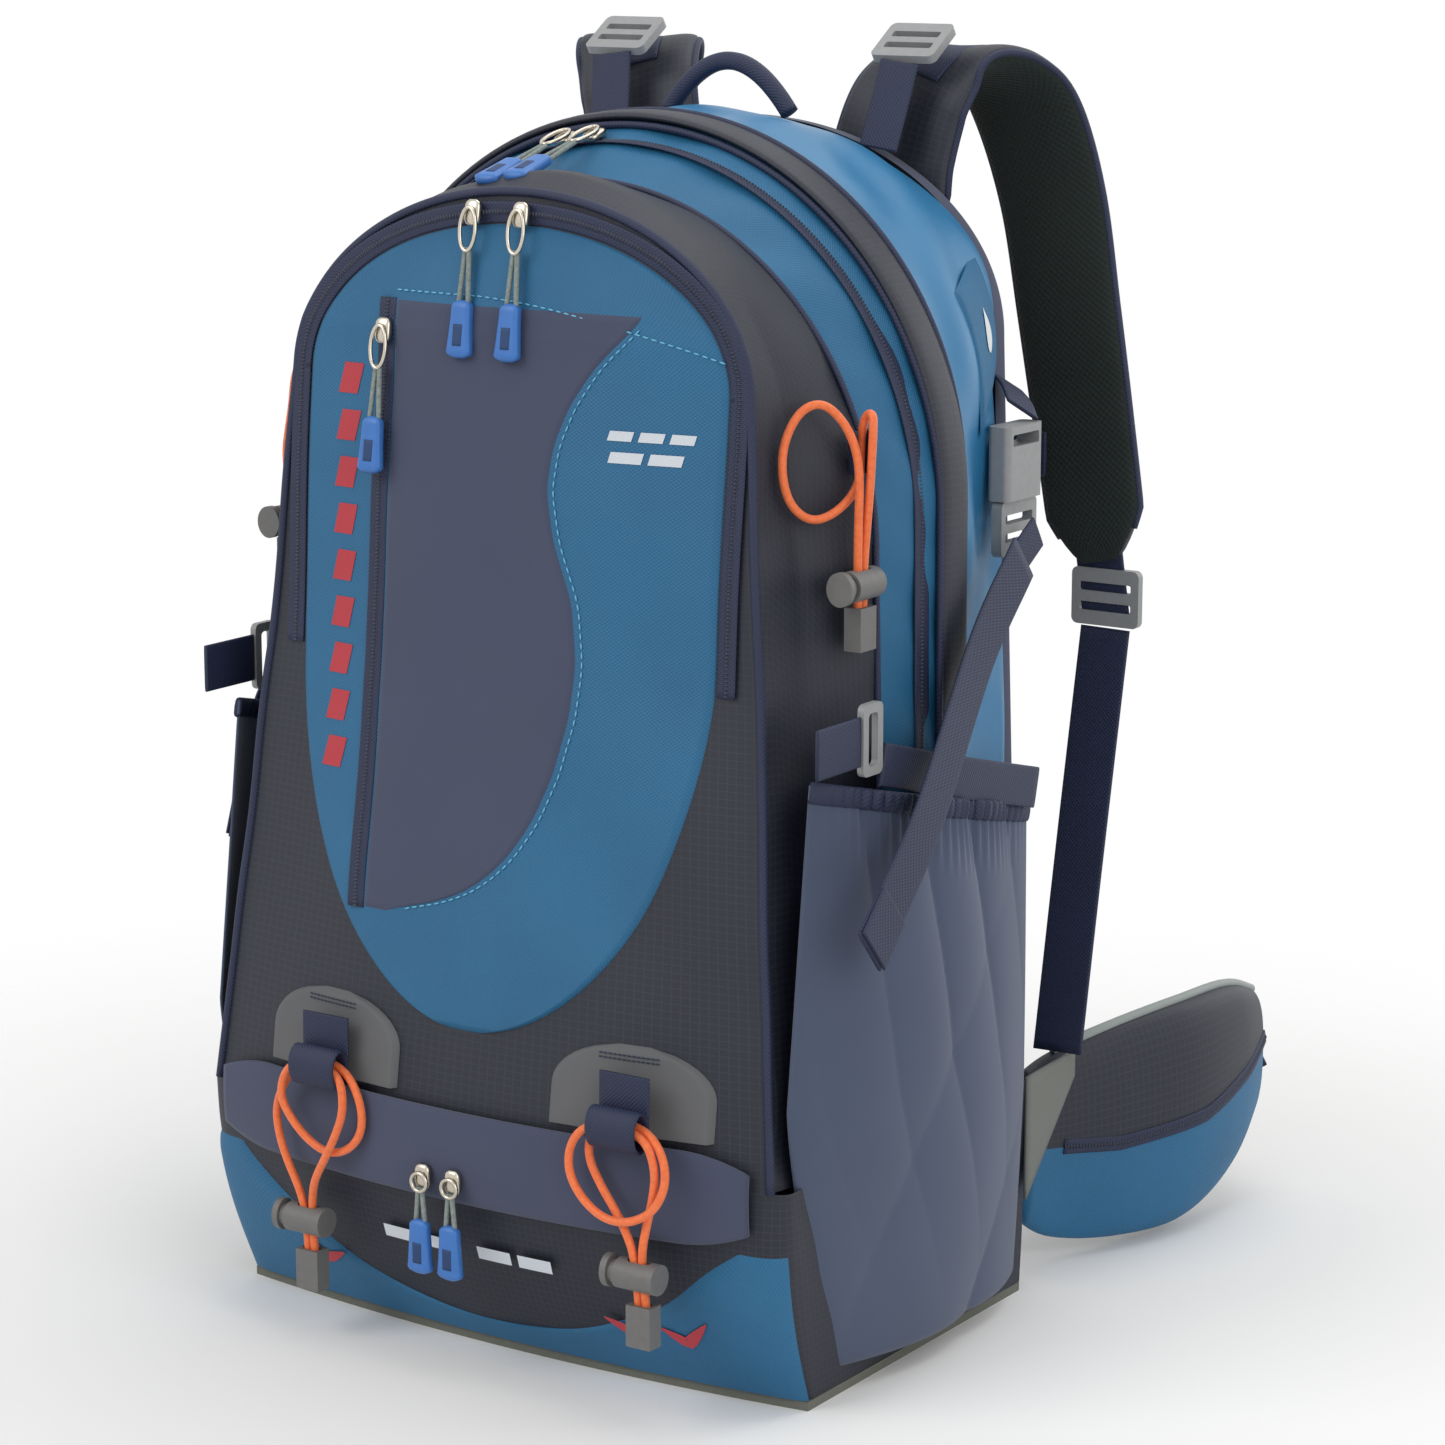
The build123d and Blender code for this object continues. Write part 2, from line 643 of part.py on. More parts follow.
for label, (place, way, _) in lock_places.items():
    front = lock_plane(place, way)
    inner_end = barrel_length / 2 - fabric - spring_length - clearance
    with BuildPart() as cord_button:
        with BuildSketch(front.offset(inner_end)):
            Circle(plunger_radius)
        extrude(amount=-(inner_end + barrel_length / 2 + button_travel + clearance))
        with BuildSketch(front.offset(inner_end)):
            Circle(spring_radius + spring_room)
        extrude(amount=-(button_travel + 2 * clearance), mode=Mode.SUBTRACT)
        with BuildSketch(front.offset(-barrel_length / 2 - button_travel - clearance)):
            Ellipse(barrel_radius + 0.6, barrel_radius - 0.4)
        extrude(amount=-3.0)
        middle = Vector(*place) + Vector(*way) * (-button_travel / 2)
        slot_length = min(strand_span + button_travel, barrel_length - fabric - spring_length - 2.5)
        with BuildSketch(Plane(origin=middle, x_dir=way, z_dir=(0, 0, 1))):
            SlotOverall(slot_length, slot_depth)
        extrude(amount=barrel_radius + 1, both=True, mode=Mode.SUBTRACT)
    save(cord_button, "cord_button_" + label)

with BuildPart() as cord_ends:
    for place, way, top in lock_places.values():
        tip = Plane(origin=top, x_dir=way, z_dir=(0, 0, 1))
        with BuildSketch(tip, tip.offset(-tip_height)):
            Rectangle(tip_width, tip_thickness)
        loft(ruled=True)
        with BuildSketch(tip):
            SlotOverall(2 * cord_diameter + 1.6, slot_depth)
        extrude(amount=-6.5, mode=Mode.SUBTRACT)
save(cord_ends, "cord_ends")

# ---- compression straps, rings and side-release buckles --------------------------------------------
ring_y = -66.0
ring_z = 283.0
ring_x = base_half_width + 3.0
ring_half = 15.0
ring_bar = 4.0
ring_thickness = 3.0
side_buckle_y = 66.0
side_buckle_z = 352.0
side_buckle_x = 148.0
buckle_width = 30.0
buckle_body = 24.0
prong_length = 18.0
socket_height = 32.0
socket_thickness = 11.0
socket_travel = 20.0
tail_end = (pocket_inner_x + pocket_bulge + 8.0, -100.0, 204.0)


def both_sides(piece):
    """The piece and its mirror image across the pack's middle, as one compound part."""
    with BuildPart() as pair:
        add(piece)
        mirror(piece, about=Plane.YZ)
    return pair.part


with BuildPart() as ring:
    with BuildSketch(Plane(origin=(ring_x, ring_y, ring_z), x_dir=(0, 1, 0), z_dir=(1, 0, 0))):
        RectangleRounded(2 * ring_bar + 7, 2 * ring_half, 3)
        RectangleRounded(7, 2 * (ring_half - ring_bar), 2, mode=Mode.SUBTRACT)
    extrude(amount=ring_thickness)
with BuildPart() as side_rings:
    add(both_sides(ring.part))
save(side_rings, "side_rings")

seam_start = (ring_x + 0.6, pocket_front_y + 6, ring_z)
strap_low = (ring_x + ring_thickness + clearance, ring_y + 6, ring_z + 2)
strap_high = (ring_x + ring_thickness + clearance, side_buckle_y - 16, side_buckle_z - 10)
tail_start = (strap_high[0] + webbing - 0.2, strap_high[1], strap_high[2])
with BuildPart() as compression_strap:
    add(strap(seam_start, (ring_x + 0.6, ring_y - ring_bar - 4.0, ring_z), (1, 0, 0), webbing_width - 4, webbing))
    add(strap(tail_start, tail_end, (1, 0, 0), webbing_width, webbing))
    add(strap(strap_high, (side_buckle_x + 14.5, side_buckle_y - 2, side_buckle_z - 1), (1, 0, 0), 16, webbing))
    add(strap((ring_x + 1.2, ring_y + ring_bar + 4.0, ring_z - 12), (ring_x + 1.2, back_y - 12, ring_z - 46), (1, 0, 0), 18, webbing))
with BuildPart() as compression_straps:
    add(both_sides(compression_strap.part))
save(compression_straps, "compression_straps")

# Plug: a frame for the webbing with three prongs up into the socket.
with BuildPart() as plug:
    with BuildSketch(Plane(origin=(side_buckle_x, side_buckle_y, side_buckle_z), x_dir=(0, 1, 0), z_dir=(1, 0, 0))):
        RectangleRounded(buckle_width, buckle_body, 3)
        with GridLocations(0, buckle_body / 3, 1, 2):
            RectangleRounded(buckle_width - 7, 4, 1, mode=Mode.SUBTRACT)
        with Locations((0, buckle_body / 2 + prong_length / 2 - 1)):
            with GridLocations((buckle_width - 9) / 2, 0, 3, 1):
                Rectangle(3, prong_length + 1)
    extrude(amount=5.0)
with BuildPart() as side_plugs:
    add(both_sides(plug.part))
save(side_plugs, "side_plugs")

socket_foot_z = side_buckle_z + buckle_body / 2 + clearance
with BuildPart() as socket:
    with BuildSketch(Plane(origin=(side_buckle_x + 2.5, side_buckle_y, socket_foot_z), x_dir=(0, 1, 0))):
        RectangleRounded(buckle_width, socket_thickness, 3)
    extrude(amount=socket_height)
    with BuildSketch(Plane(origin=(side_buckle_x + 2.5, side_buckle_y, socket_foot_z), x_dir=(0, 1, 0))):
        Rectangle(buckle_width - 5, 6.0)
    extrude(amount=prong_length + 1.0, mode=Mode.SUBTRACT)
    with BuildSketch(Plane(origin=(side_buckle_x - 10, side_buckle_y, socket_foot_z + socket_height - 6), x_dir=(0, 1, 0), z_dir=(1, 0, 0))):
        RectangleRounded(buckle_width - 8, 5, 1)
    extrude(amount=30, mode=Mode.SUBTRACT)
with BuildPart() as side_socket_right:
    add(socket.part)
save(side_socket_right, "side_socket_right")
with BuildPart() as side_socket_left:
    mirror(socket.part, about=Plane.YZ)
save(side_socket_left, "side_socket_left")

# Short webbing from the rear seam to each socket; it slackens when the buckle is opened.
loop_start = (side_buckle_x + 2.5, side_buckle_y + 6, socket_foot_z + socket_height + clearance + 5.0)
loop_end = (back_half_width + 3.6, back_y + 6, socket_foot_z + socket_height + 14)
with BuildPart() as buckle_loop_right:
    add(strap(loop_start, loop_end, (1, 0, 0.8), 18, webbing))
save(buckle_loop_right, "buckle_loop_right")
with BuildPart() as buckle_loop_left:
    mirror(buckle_loop_right.part, about=Plane.YZ)
save(buckle_loop_left, "buckle_loop_left")

# ---- shoulder harness ---------------------------------------------------------------------------
pad_width = 62.0
pad_foot_width = 46.0
pad_thickness = 12.0
pad_crown_z = arch_centre_z + arch_radius + 22.0
pad_root_y = pad_y + pad_thickness / 2 + clearance
pad_line = [
    # across, out from the root, up from the crown, and the pad's run there
    (64.0, 0.0, -66.0, (0.05, 0.0, 1.0)),
    (67.0, 1.0, -40.0, (0.2, 0.15, 1.0)),
    (74.0, 7.0, -14.0, (0.3, 0.6, 0.8)),
    (84.0, 22.0, 0.0, (0.35, 1.0, 0.15)),
    (97.0, 40.0, -6.0, (0.35, 0.75, -0.7)),
    (106.0, 52.0, -24.0, (0.25, 0.3, -1.0)),
    (116.0, 58.0, -62.0, (0.2, 0.1, -1.0)),
    (124.0, 60.0, -112.0, (0.2, 0.0, -1.0)),
    (135.0, 57.0, -166.0, (0.2, -0.08, -1.0)),
    (147.0, 52.0, -222.0, (0.2, -0.1, -1.0)),
]
with BuildPart() as shoulder_pad_right:
    sections = []
    for order, (across, out, up, run) in enumerate(pad_line):
        width = pad_width + (pad_foot_width - pad_width) * order / (len(pad_line) - 1)
        run_way = Vector(*run).normalized()
        width_way = Vector(1, 0, 0) - run_way * run_way.X
        sections.append(((across, pad_root_y + out, pad_crown_z + up), width_way, run_way, width, pad_thickness))
    add(padded_strip(sections))
save(shoulder_pad_right, "shoulder_pad_right")
with BuildPart() as shoulder_pad_left:
    mirror(shoulder_pad_right.part, about=Plane.YZ)
save(shoulder_pad_left, "shoulder_pad_left")

# Load lifter: from the bag's top edge to a ladder lock on the pad's crown.
lifter_foot = (72.0, back_y - 3, pad_crown_z - 36.5)
lifter_top = (77.0, pad_root_y + 2, pad_crown_z + 6.6)
with BuildPart() as lifter:
    add(strap(lifter_foot, (lifter_top[0], lifter_top[1] - 12.4, lifter_top[2] - 6.0), (0, -1, 0.6), 20, webbing))
with BuildPart() as load_lifters:
    add(both_sides(lifter.part))
save(load_lifters, "load_lifters")

foot_across, foot_out, foot_up, _ = pad_line[-1]
foot_lock = (foot_across + 3.0, pad_root_y + foot_out - 1.0, pad_crown_z + foot_up - 16.0)
with BuildPart() as one_side_locks:
    with BuildSketch(Plane(origin=lifter_top, x_dir=(1, 0, 0), z_dir=(0, -0.55, 0.83))):
        RectangleRounded(32, 24, 3)
        with GridLocations(0, 8, 1, 2):
            RectangleRounded(24, 4, 1, mode=Mode.SUBTRACT)
    extrude(amount=4.0)
    with BuildSketch(Plane(origin=foot_lock, x_dir=(1, 0, 0), z_dir=(0, 1, 0))):
        RectangleRounded(34, 26, 3)
        with GridLocations(0, 9, 1, 2):
            RectangleRounded(26, 4, 1, mode=Mode.SUBTRACT)
    extrude(amount=4.0)
with BuildPart() as ladder_locks:
    add(both_sides(one_side_locks.part))
save(ladder_locks, "ladder_locks")

# Lower webbing from the ladder lock down to the tab at the pack's foot.
tab_x = pocket_inner_x
tab_y = pad_y + 4.0
tab_z = 84.0
with BuildPart() as tab:
    with BuildSketch(Plane(origin=(tab_x, 0, 0), x_dir=(0, 1, 0), z_dir=(1, 0, 0))):
        with BuildLine():
            tab_root_y = pocket_rear_y + clearance
            Polyline((tab_root_y, 45), (tab_root_y, 102), (tab_y + 18, 104), (tab_y + 18, 92), close=True)
        make_face()
    extrude(amount=fabric)
with BuildPart() as base_tabs:
    add(both_sides(tab.part))
save(base_tabs, "base_tabs")

with BuildPart() as lower_webbing_right:
    middle_point = (foot_lock[0] - 2, foot_lock[1] - 16, 190.0)
    add(strap((foot_lock[0], foot_lock[1] + 1.2, foot_lock[2] - 14), middle_point, (0, 1, 0), webbing_width, webbing))
    add(strap(middle_point, (tab_x - 4.0, tab_y + 8.0, 104.6), (0, 1, 0), webbing_width, webbing))
save(lower_webbing_right, "lower_webbing_right")
with BuildPart() as lower_webbing_left:
    mirror(lower_webbing_right.part, about=Plane.YZ)
save(lower_webbing_left, "lower_webbing_left")

# Sternum strap across the pads, with its buckle near the right pad.
sternum_z = pad_crown_z - 175.0
sternum_y = pad_root_y + 57.0 - pad_thickness / 2 - clearance - 2.3
sternum_reach = 120.0
buckle_across = 62.0
buckle_half = 22.0
sternum_width = 20.0
sternum_spans = [(-sternum_reach, buckle_across - buckle_half)]
sternum_spans.append((buckle_across + buckle_half, sternum_reach))
with BuildPart() as sternum_strap:
    for start_x, end_x in sternum_spans:
        with Locations(((start_x + end_x) / 2, sternum_y, sternum_z)):
            Box(end_x - start_x, webbing, sternum_width)
save(sternum_strap, "sternum_strap")

with BuildPart() as sternum_buckle:
    with Locations((buckle_across, sternum_y, sternum_z)):
        Box(43, 9, 24)
        fillet(edges().filter_by(Axis.Y), 5)
save(sternum_buckle, "sternum_buckle")

# ---- haul loop -----------------------------------------------------------------------------------
# A rolled webbing handle whose round ends turn on the seam of the bag's top.
haul_half = 32.0
haul_height = 22.0
haul_radius = 4.0
haul_y = back_y - 12.0
haul_foot_z = back_centre_z + back_rise + haul_radius - 2.1
with BuildPart() as haul_loop:
    with BuildLine() as haul_line:
        ThreePointArc(
            (-haul_half, haul_y, haul_foot_z), (0, haul_y, haul_foot_z + haul_height), (haul_half, haul_y, haul_foot_z)
        )
    with BuildSketch(Plane(origin=haul_line.line @ 0, z_dir=haul_line.line % 0)):
        Circle(haul_radius)
    sweep()
    with Locations((-haul_half, haul_y, haul_foot_z), (haul_half, haul_y, haul_foot_z)):
        Sphere(haul_radius)
save(haul_loop, "haul_loop")

# ---- hip belt -------------------------------------------------------------------------------------
wing_root_radius = 6.5
wing_hinge_x = 134.0
wing_hinge_y = panel_y + padding + clearance + wing_root_radius
wing_foot_z = 6.0
wing_thickness = 14.0
wing_line = [
    # across, along, foot height, top height, thickness, and the wing's run there
    (wing_hinge_x + 1.0, wing_hinge_y + 3.0, wing_foot_z + 20, 92.0, wing_thickness - 2, (0.2, 1.0, 0)),
    (141.0, wing_hinge_y + 24.0, wing_foot_z + 6, 100.0, wing_thickness, (0.4, 1.0, 0)),
    (156.0, wing_hinge_y + 56.0, wing_foot_z, 108.0, wing_thickness + 8, (0.4, 1.0, 0)),
    (168.0, wing_hinge_y + 96.0, wing_foot_z, 112.0, wing_thickness + 14, (0.15, 1.0, 0)),
    (171.0, wing_hinge_y + 140.0, wing_foot_z + 14, 110.0, wing_thickness + 10, (0.0, 1.0, 0)),
    (167.0, wing_hinge_y + 182.0, wing_foot_z + 40, 96.0, wing_thickness, (-0.1, 1.0, 0)),
]
wing_tip_y = wing_hinge_y + 182.0
with BuildPart() as hip_wing_right:
    sections = []
    for across, along, low_z, high_z, thickness, run in wing_line:
        run_way = Vector(*run)
        sections.append(((across, along, (low_z + high_z) / 2), Vector(0, 0, 1), run_way, high_z - low_z, thickness))
    add(padded_strip(sections))
    with BuildSketch(Plane.XY.offset(wing_foot_z + 20)):
        with Locations((wing_hinge_x, wing_hinge_y)):
            Circle(wing_root_radius)
    extrude(amount=92 - wing_foot_z - 20)
save(hip_wing_right, "hip_wing_right")
with BuildPart() as hip_wing_left:
    mirror(hip_wing_right.part, about=Plane.YZ)
save(hip_wing_left, "hip_wing_left")

tip_strap_start = (166.0, wing_tip_y + 1.2, 70.0)
tip_strap_end = (128.0, wing_tip_y + 5.0, 46.0)
with BuildPart() as hip_strap_right:
    add(strap(tip_strap_start, tip_strap_end, (0, 1, 0), webbing_width, webbing))
save(hip_strap_right, "hip_strap_right")
with BuildPart() as hip_strap_left:
    mirror(hip_strap_right.part, about=Plane.YZ)
save(hip_strap_left, "hip_strap_left")

hip_way = (Vector(*tip_strap_end) - Vector(*tip_strap_start)).normalized()
hip_plane = Plane(
    origin=Vector(*tip_strap_end) + hip_way * clearance,
    x_dir=hip_way,
    z_dir=Vector(0, 1, 0) - hip_way * hip_way.Y,
)
with BuildPart() as hip_socket:
    with BuildSketch(hip_plane):
        RectangleRounded(40, 34, 4, align=(Align.MIN, Align.CENTER))
        with Locations((5, 0)):
            RectangleRounded(5, 26, 1, mode=Mode.SUBTRACT)
    extrude(amount=5.0, both=True)
    with BuildSketch(hip_plane):
        with Locations((16, 0)):
            Rectangle(30, 26, align=(Align.MIN, Align.CENTER))
    extrude(amount=3.2, both=True, mode=Mode.SUBTRACT)
save(hip_socket, "hip_socket")
with BuildPart() as hip_plug_right_hand:
    with BuildSketch(hip_plane):
        RectangleRounded(18, 34, 3, align=(Align.MIN, Align.CENTER))
        with Locations((5, 0)):
            RectangleRounded(5, 26, 1, mode=Mode.SUBTRACT)
        with Locations((16, -10), (16, 0), (16, 10)):
            Rectangle(22, 4, align=(Align.MIN, Align.CENTER))
    extrude(amount=2.5, both=True)
with BuildPart() as hip_plug:
    mirror(hip_plug_right_hand.part, about=Plane.YZ)
save(hip_plug, "hip_plug")

# ---- zip sliders and their pulls --------------------------------------------------------------------
slider_length = 11.0
slider_width = 8.0
slider_height = 4.0
grip_length = 24.0
grip_width = 12.0
grip_thickness = 5.0


def slider_pull(seat, out_way, down_way, ring_length=18.0, pull_cord_length=20.0):
    """Slider body on its seat, with its ring, cord and grip hanging along down_way."""
    plane = Plane(origin=seat, x_dir=down_way, z_dir=out_way)
    with BuildPart() as pull:
        with BuildSketch(plane):
            Rectangle(slider_length, slider_width)
        extrude(amount=slider_height)
        with BuildSketch(plane.offset(slider_height + 0.2)):
            with Locations((ring_length / 2 - 2, 0)):
                RectangleRounded(ring_length, 8, 3)
                RectangleRounded(ring_length - 4, 4, 1.5, mode=Mode.SUBTRACT)
        extrude(amount=1.6)
        with BuildSketch(plane.offset(slider_height + 0.1)):
            with Locations((ring_length - 1.8, 0)):
                with GridLocations(0, 3, 1, 2):
                    Rectangle(pull_cord_length, 2.0, align=(Align.MIN, Align.CENTER))
        extrude(amount=2.0)
        with BuildSketch(plane.offset(slider_height - 1.4)):
            with Locations((ring_length + pull_cord_length - 1.6, 0)):
                RectangleRounded(grip_length, grip_width, 3, align=(Align.MIN, Align.CENTER))
            with Locations((ring_length + pull_cord_length + 5, 0)):
                RectangleRounded(9, 5, 1, align=(Align.MIN, Align.CENTER), mode=Mode.SUBTRACT)
        extrude(amount=grip_thickness)
    return pull.part


# Front pocket: two sliders meet near the top of the arch and hang over the face.
front_slider_z = face_panel_top + 4.0
face_lean = (0, -1, 0.14)
for label, across in (("left", -19.0), ("right", 6.0)):
    with BuildPart() as front_slider:
        seat_y = front_y_at(across, front_slider_z) - skin - 2 * clearance - 0.6
        add(slider_pull((across, seat_y, front_slider_z), face_lean, (0, -0.14, -1)))
    save(front_slider, "front_slider_" + label)

# Vertical pocket: one slider at the top of its zip.
stash_slider_z = stash_top_z - 14.0
stash_x = (stash_left + stash_right) / 2
with BuildPart() as stash_slider:
    seat_y = front_y_at(stash_x, stash_slider_z) - skin - 2 * clearance - 0.6
    add(slider_pull((stash_x, seat_y, stash_slider_z), face_lean, (0, -0.14, -1)))
save(stash_slider, "stash_slider")

# Main zip: two sliders on top of the arch, their pulls lying forward over the gusset.
main_slider_y = (zip_front_y + zip_rear_y) / 2
_, main_rise, main_centre_z, _ = section_at(main_slider_y)
main_seat_radius = main_rise + zip_thickness + 2 * clearance + 3.2
for label, across in (("left", -27.0), ("right", -12.0)):
    main_seat_z = main_centre_z + math.sqrt(main_seat_radius**2 - across**2)
    with BuildPart() as main_slider:
        add(slider_pull((across, main_slider_y - 1, main_seat_z), (0, -0.3, 1), (0, -1, -0.3)))
    save(main_slider, "main_slider_" + label)

# Bottom compartment: two sliders under the cover band.
bottom_slider_z = band_foot_z + 10.0
bottom_seat_y = front_line[0][1] - 3 * clearance - skin - band_thickness
for label, across in (("left", -13.0), ("right", 3.0)):
    with BuildPart() as bottom_slider:
        add(slider_pull((across, bottom_seat_y, bottom_slider_z), (0, -1, 0), (0, 0, -1), 8.0, 12.0))
    save(bottom_slider, "bottom_slider_" + label)
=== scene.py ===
import math
import bpy
import numpy as np
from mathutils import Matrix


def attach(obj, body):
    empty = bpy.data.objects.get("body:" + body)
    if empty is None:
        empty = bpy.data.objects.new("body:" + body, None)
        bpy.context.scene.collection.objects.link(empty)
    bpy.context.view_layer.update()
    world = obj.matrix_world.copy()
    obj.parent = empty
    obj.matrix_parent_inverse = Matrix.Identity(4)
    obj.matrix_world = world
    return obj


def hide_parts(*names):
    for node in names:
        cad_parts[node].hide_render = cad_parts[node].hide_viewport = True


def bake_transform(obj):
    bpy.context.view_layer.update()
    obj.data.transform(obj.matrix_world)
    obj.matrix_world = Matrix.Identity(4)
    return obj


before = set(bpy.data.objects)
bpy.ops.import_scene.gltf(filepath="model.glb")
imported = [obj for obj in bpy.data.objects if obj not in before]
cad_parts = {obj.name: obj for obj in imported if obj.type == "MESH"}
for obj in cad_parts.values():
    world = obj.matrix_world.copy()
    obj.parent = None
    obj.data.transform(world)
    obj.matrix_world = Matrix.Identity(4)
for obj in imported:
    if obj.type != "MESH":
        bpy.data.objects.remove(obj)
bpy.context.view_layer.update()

# Every size below is in millimetres, in the pack's own frame: origin on the floor under the
# middle of the base, X across, -Y to the front pocket, +Y to the wearer, +Z up.

# ---- camera, lamps and floor -------------------------------------------------------------------
# A long lens a little above the pack and to its right. Three large soft lamps and a pale
# surround light it evenly, and it stands on a plain floor that fades into the background.
scene = bpy.context.scene
scene.view_settings.view_transform = "Standard"


def add_node(tree, kind, settings, inputs):
    """A shader node of a kind in a tree, with its settings, and its inputs set or linked."""
    made = tree.nodes.new("ShaderNode" + kind)
    for name, value in settings.items():
        setattr(made, name, value)
    for key, value in inputs.items():
        if isinstance(value, bpy.types.NodeSocket):
            tree.links.new(value, made.inputs[key])
        else:
            made.inputs[key].default_value = value
    return made


def linear(code):
    """Linear colour of an sRGB hex value: a straight toe, then the 2.4 power."""
    srgb = np.array([int(code[i:i + 2], 16) for i in (1, 3, 5)]) / 255
    toe = srgb / 12.92
    curve = ((srgb + 0.055) / 1.055) ** 2.4
    return (*np.where(srgb <= 0.04045, toe, curve).tolist(), 1.0)


def blank_material(name):
    """A new material with an empty node tree, and that tree."""
    material = bpy.data.materials.new(name)
    material.use_nodes = True
    material.node_tree.nodes.clear()
    return material, material.node_tree


def aimed(kind, name, place, target):
    """A lamp or camera at a place, turned to look at a target, both in metres."""
    thing = bpy.data.objects.new(name, kind)
    scene.collection.objects.link(thing)
    run = np.array(target) - np.array(place)
    flat = math.hypot(run[0], run[1])
    thing.location = place
    thing.rotation_euler = (math.atan2(flat, -run[2]), 0, math.atan2(-run[0], run[1]))
    return thing


view_target = (0.0436, 0.0, 0.2643)
lens = bpy.data.cameras.new("studio_lens")
lens.sensor_width = 36.0
lens.lens = 99.65
scene.camera = aimed(lens, "studio_camera", (0.9986, -1.4159, 0.6273), view_target)

lamps = [
    ("key_lamp", (-0.9, -1.7, 1.7), 19.0, 1.4),
    ("fill_lamp", (2.0, -0.9, 1.1), 13.0, 1.6),
    ("top_lamp", (0.2, 0.5, 2.1), 12.0, 1.5),
    ("rear_lamp", (0.8, 2.0, 1.0), 9.0, 1.5),
]
for lamp_name, lamp_place, watts, spread in lamps:
    lamp = bpy.data.lights.new(lamp_name, "AREA")
    lamp.energy = watts
    lamp.size = spread
    aimed(lamp, lamp_name, lamp_place, (0.0, 0.0, 0.25))

surround = bpy.data.worlds.new("pale_surround")
surround.use_nodes = True
scene.world = surround
tree = surround.node_tree
tree.nodes.clear()
rays = add_node(tree, "LightPath", {}, {})
seen = add_node(tree, "Math", {"operation": "MAXIMUM"},
    {0: rays.outputs["Is Camera Ray"], 1: rays.outputs["Is Glossy Ray"]})
seen = add_node(tree, "Math", {"operation": "MAXIMUM"},
    {0: seen.outputs[0], 1: rays.outputs["Is Transmission Ray"]})
soft_light = add_node(tree, "Background", {}, {"Color": (1, 1, 1, 1), "Strength": 0.5})
white_back = add_node(tree, "Background", {}, {"Color": (1, 1, 1, 1), "Strength": 1.0})
chosen = add_node(tree, "MixShader", {}, {0: seen.outputs[0], 1: soft_light.outputs[0],
    2: white_back.outputs[0]})
add_node(tree, "OutputWorld", {}, {"Surface": chosen.outputs[0]})

floor_mesh = bpy.data.meshes.new("studio_floor")
floor_mesh.from_pydata([(-3, -3, 0), (3, -3, 0), (3, 3, 0), (-3, 3, 0)], [], [(0, 1, 2, 3)])
studio_floor = bpy.data.objects.new("studio_floor", floor_mesh)
scene.collection.objects.link(studio_floor)
floor_paint, tree = blank_material("matt_white_floor")
place = add_node(tree, "TexCoord", {}, {})
reach = add_node(tree, "VectorMath", {"operation": "LENGTH"}, {0: place.outputs["Object"]})
fade = add_node(tree, "MapRange", {"interpolation_type": "SMOOTHSTEP"},
    {0: reach.outputs["Value"], 1: 0.3, 2: 0.75, 3: 0.0, 4: 1.0})
paint = add_node(tree, "BsdfDiffuse", {}, {"Color": linear("#fbfbfa")})
clear = add_node(tree, "BsdfTransparent", {}, {})
faded = add_node(tree, "MixShader", {}, {0: fade.outputs[0], 1: paint.outputs[0], 2: clear.outputs[0]})
add_node(tree, "OutputMaterial", {}, {"Surface": faded.outputs[0]})
floor_mesh.materials.append(floor_paint)

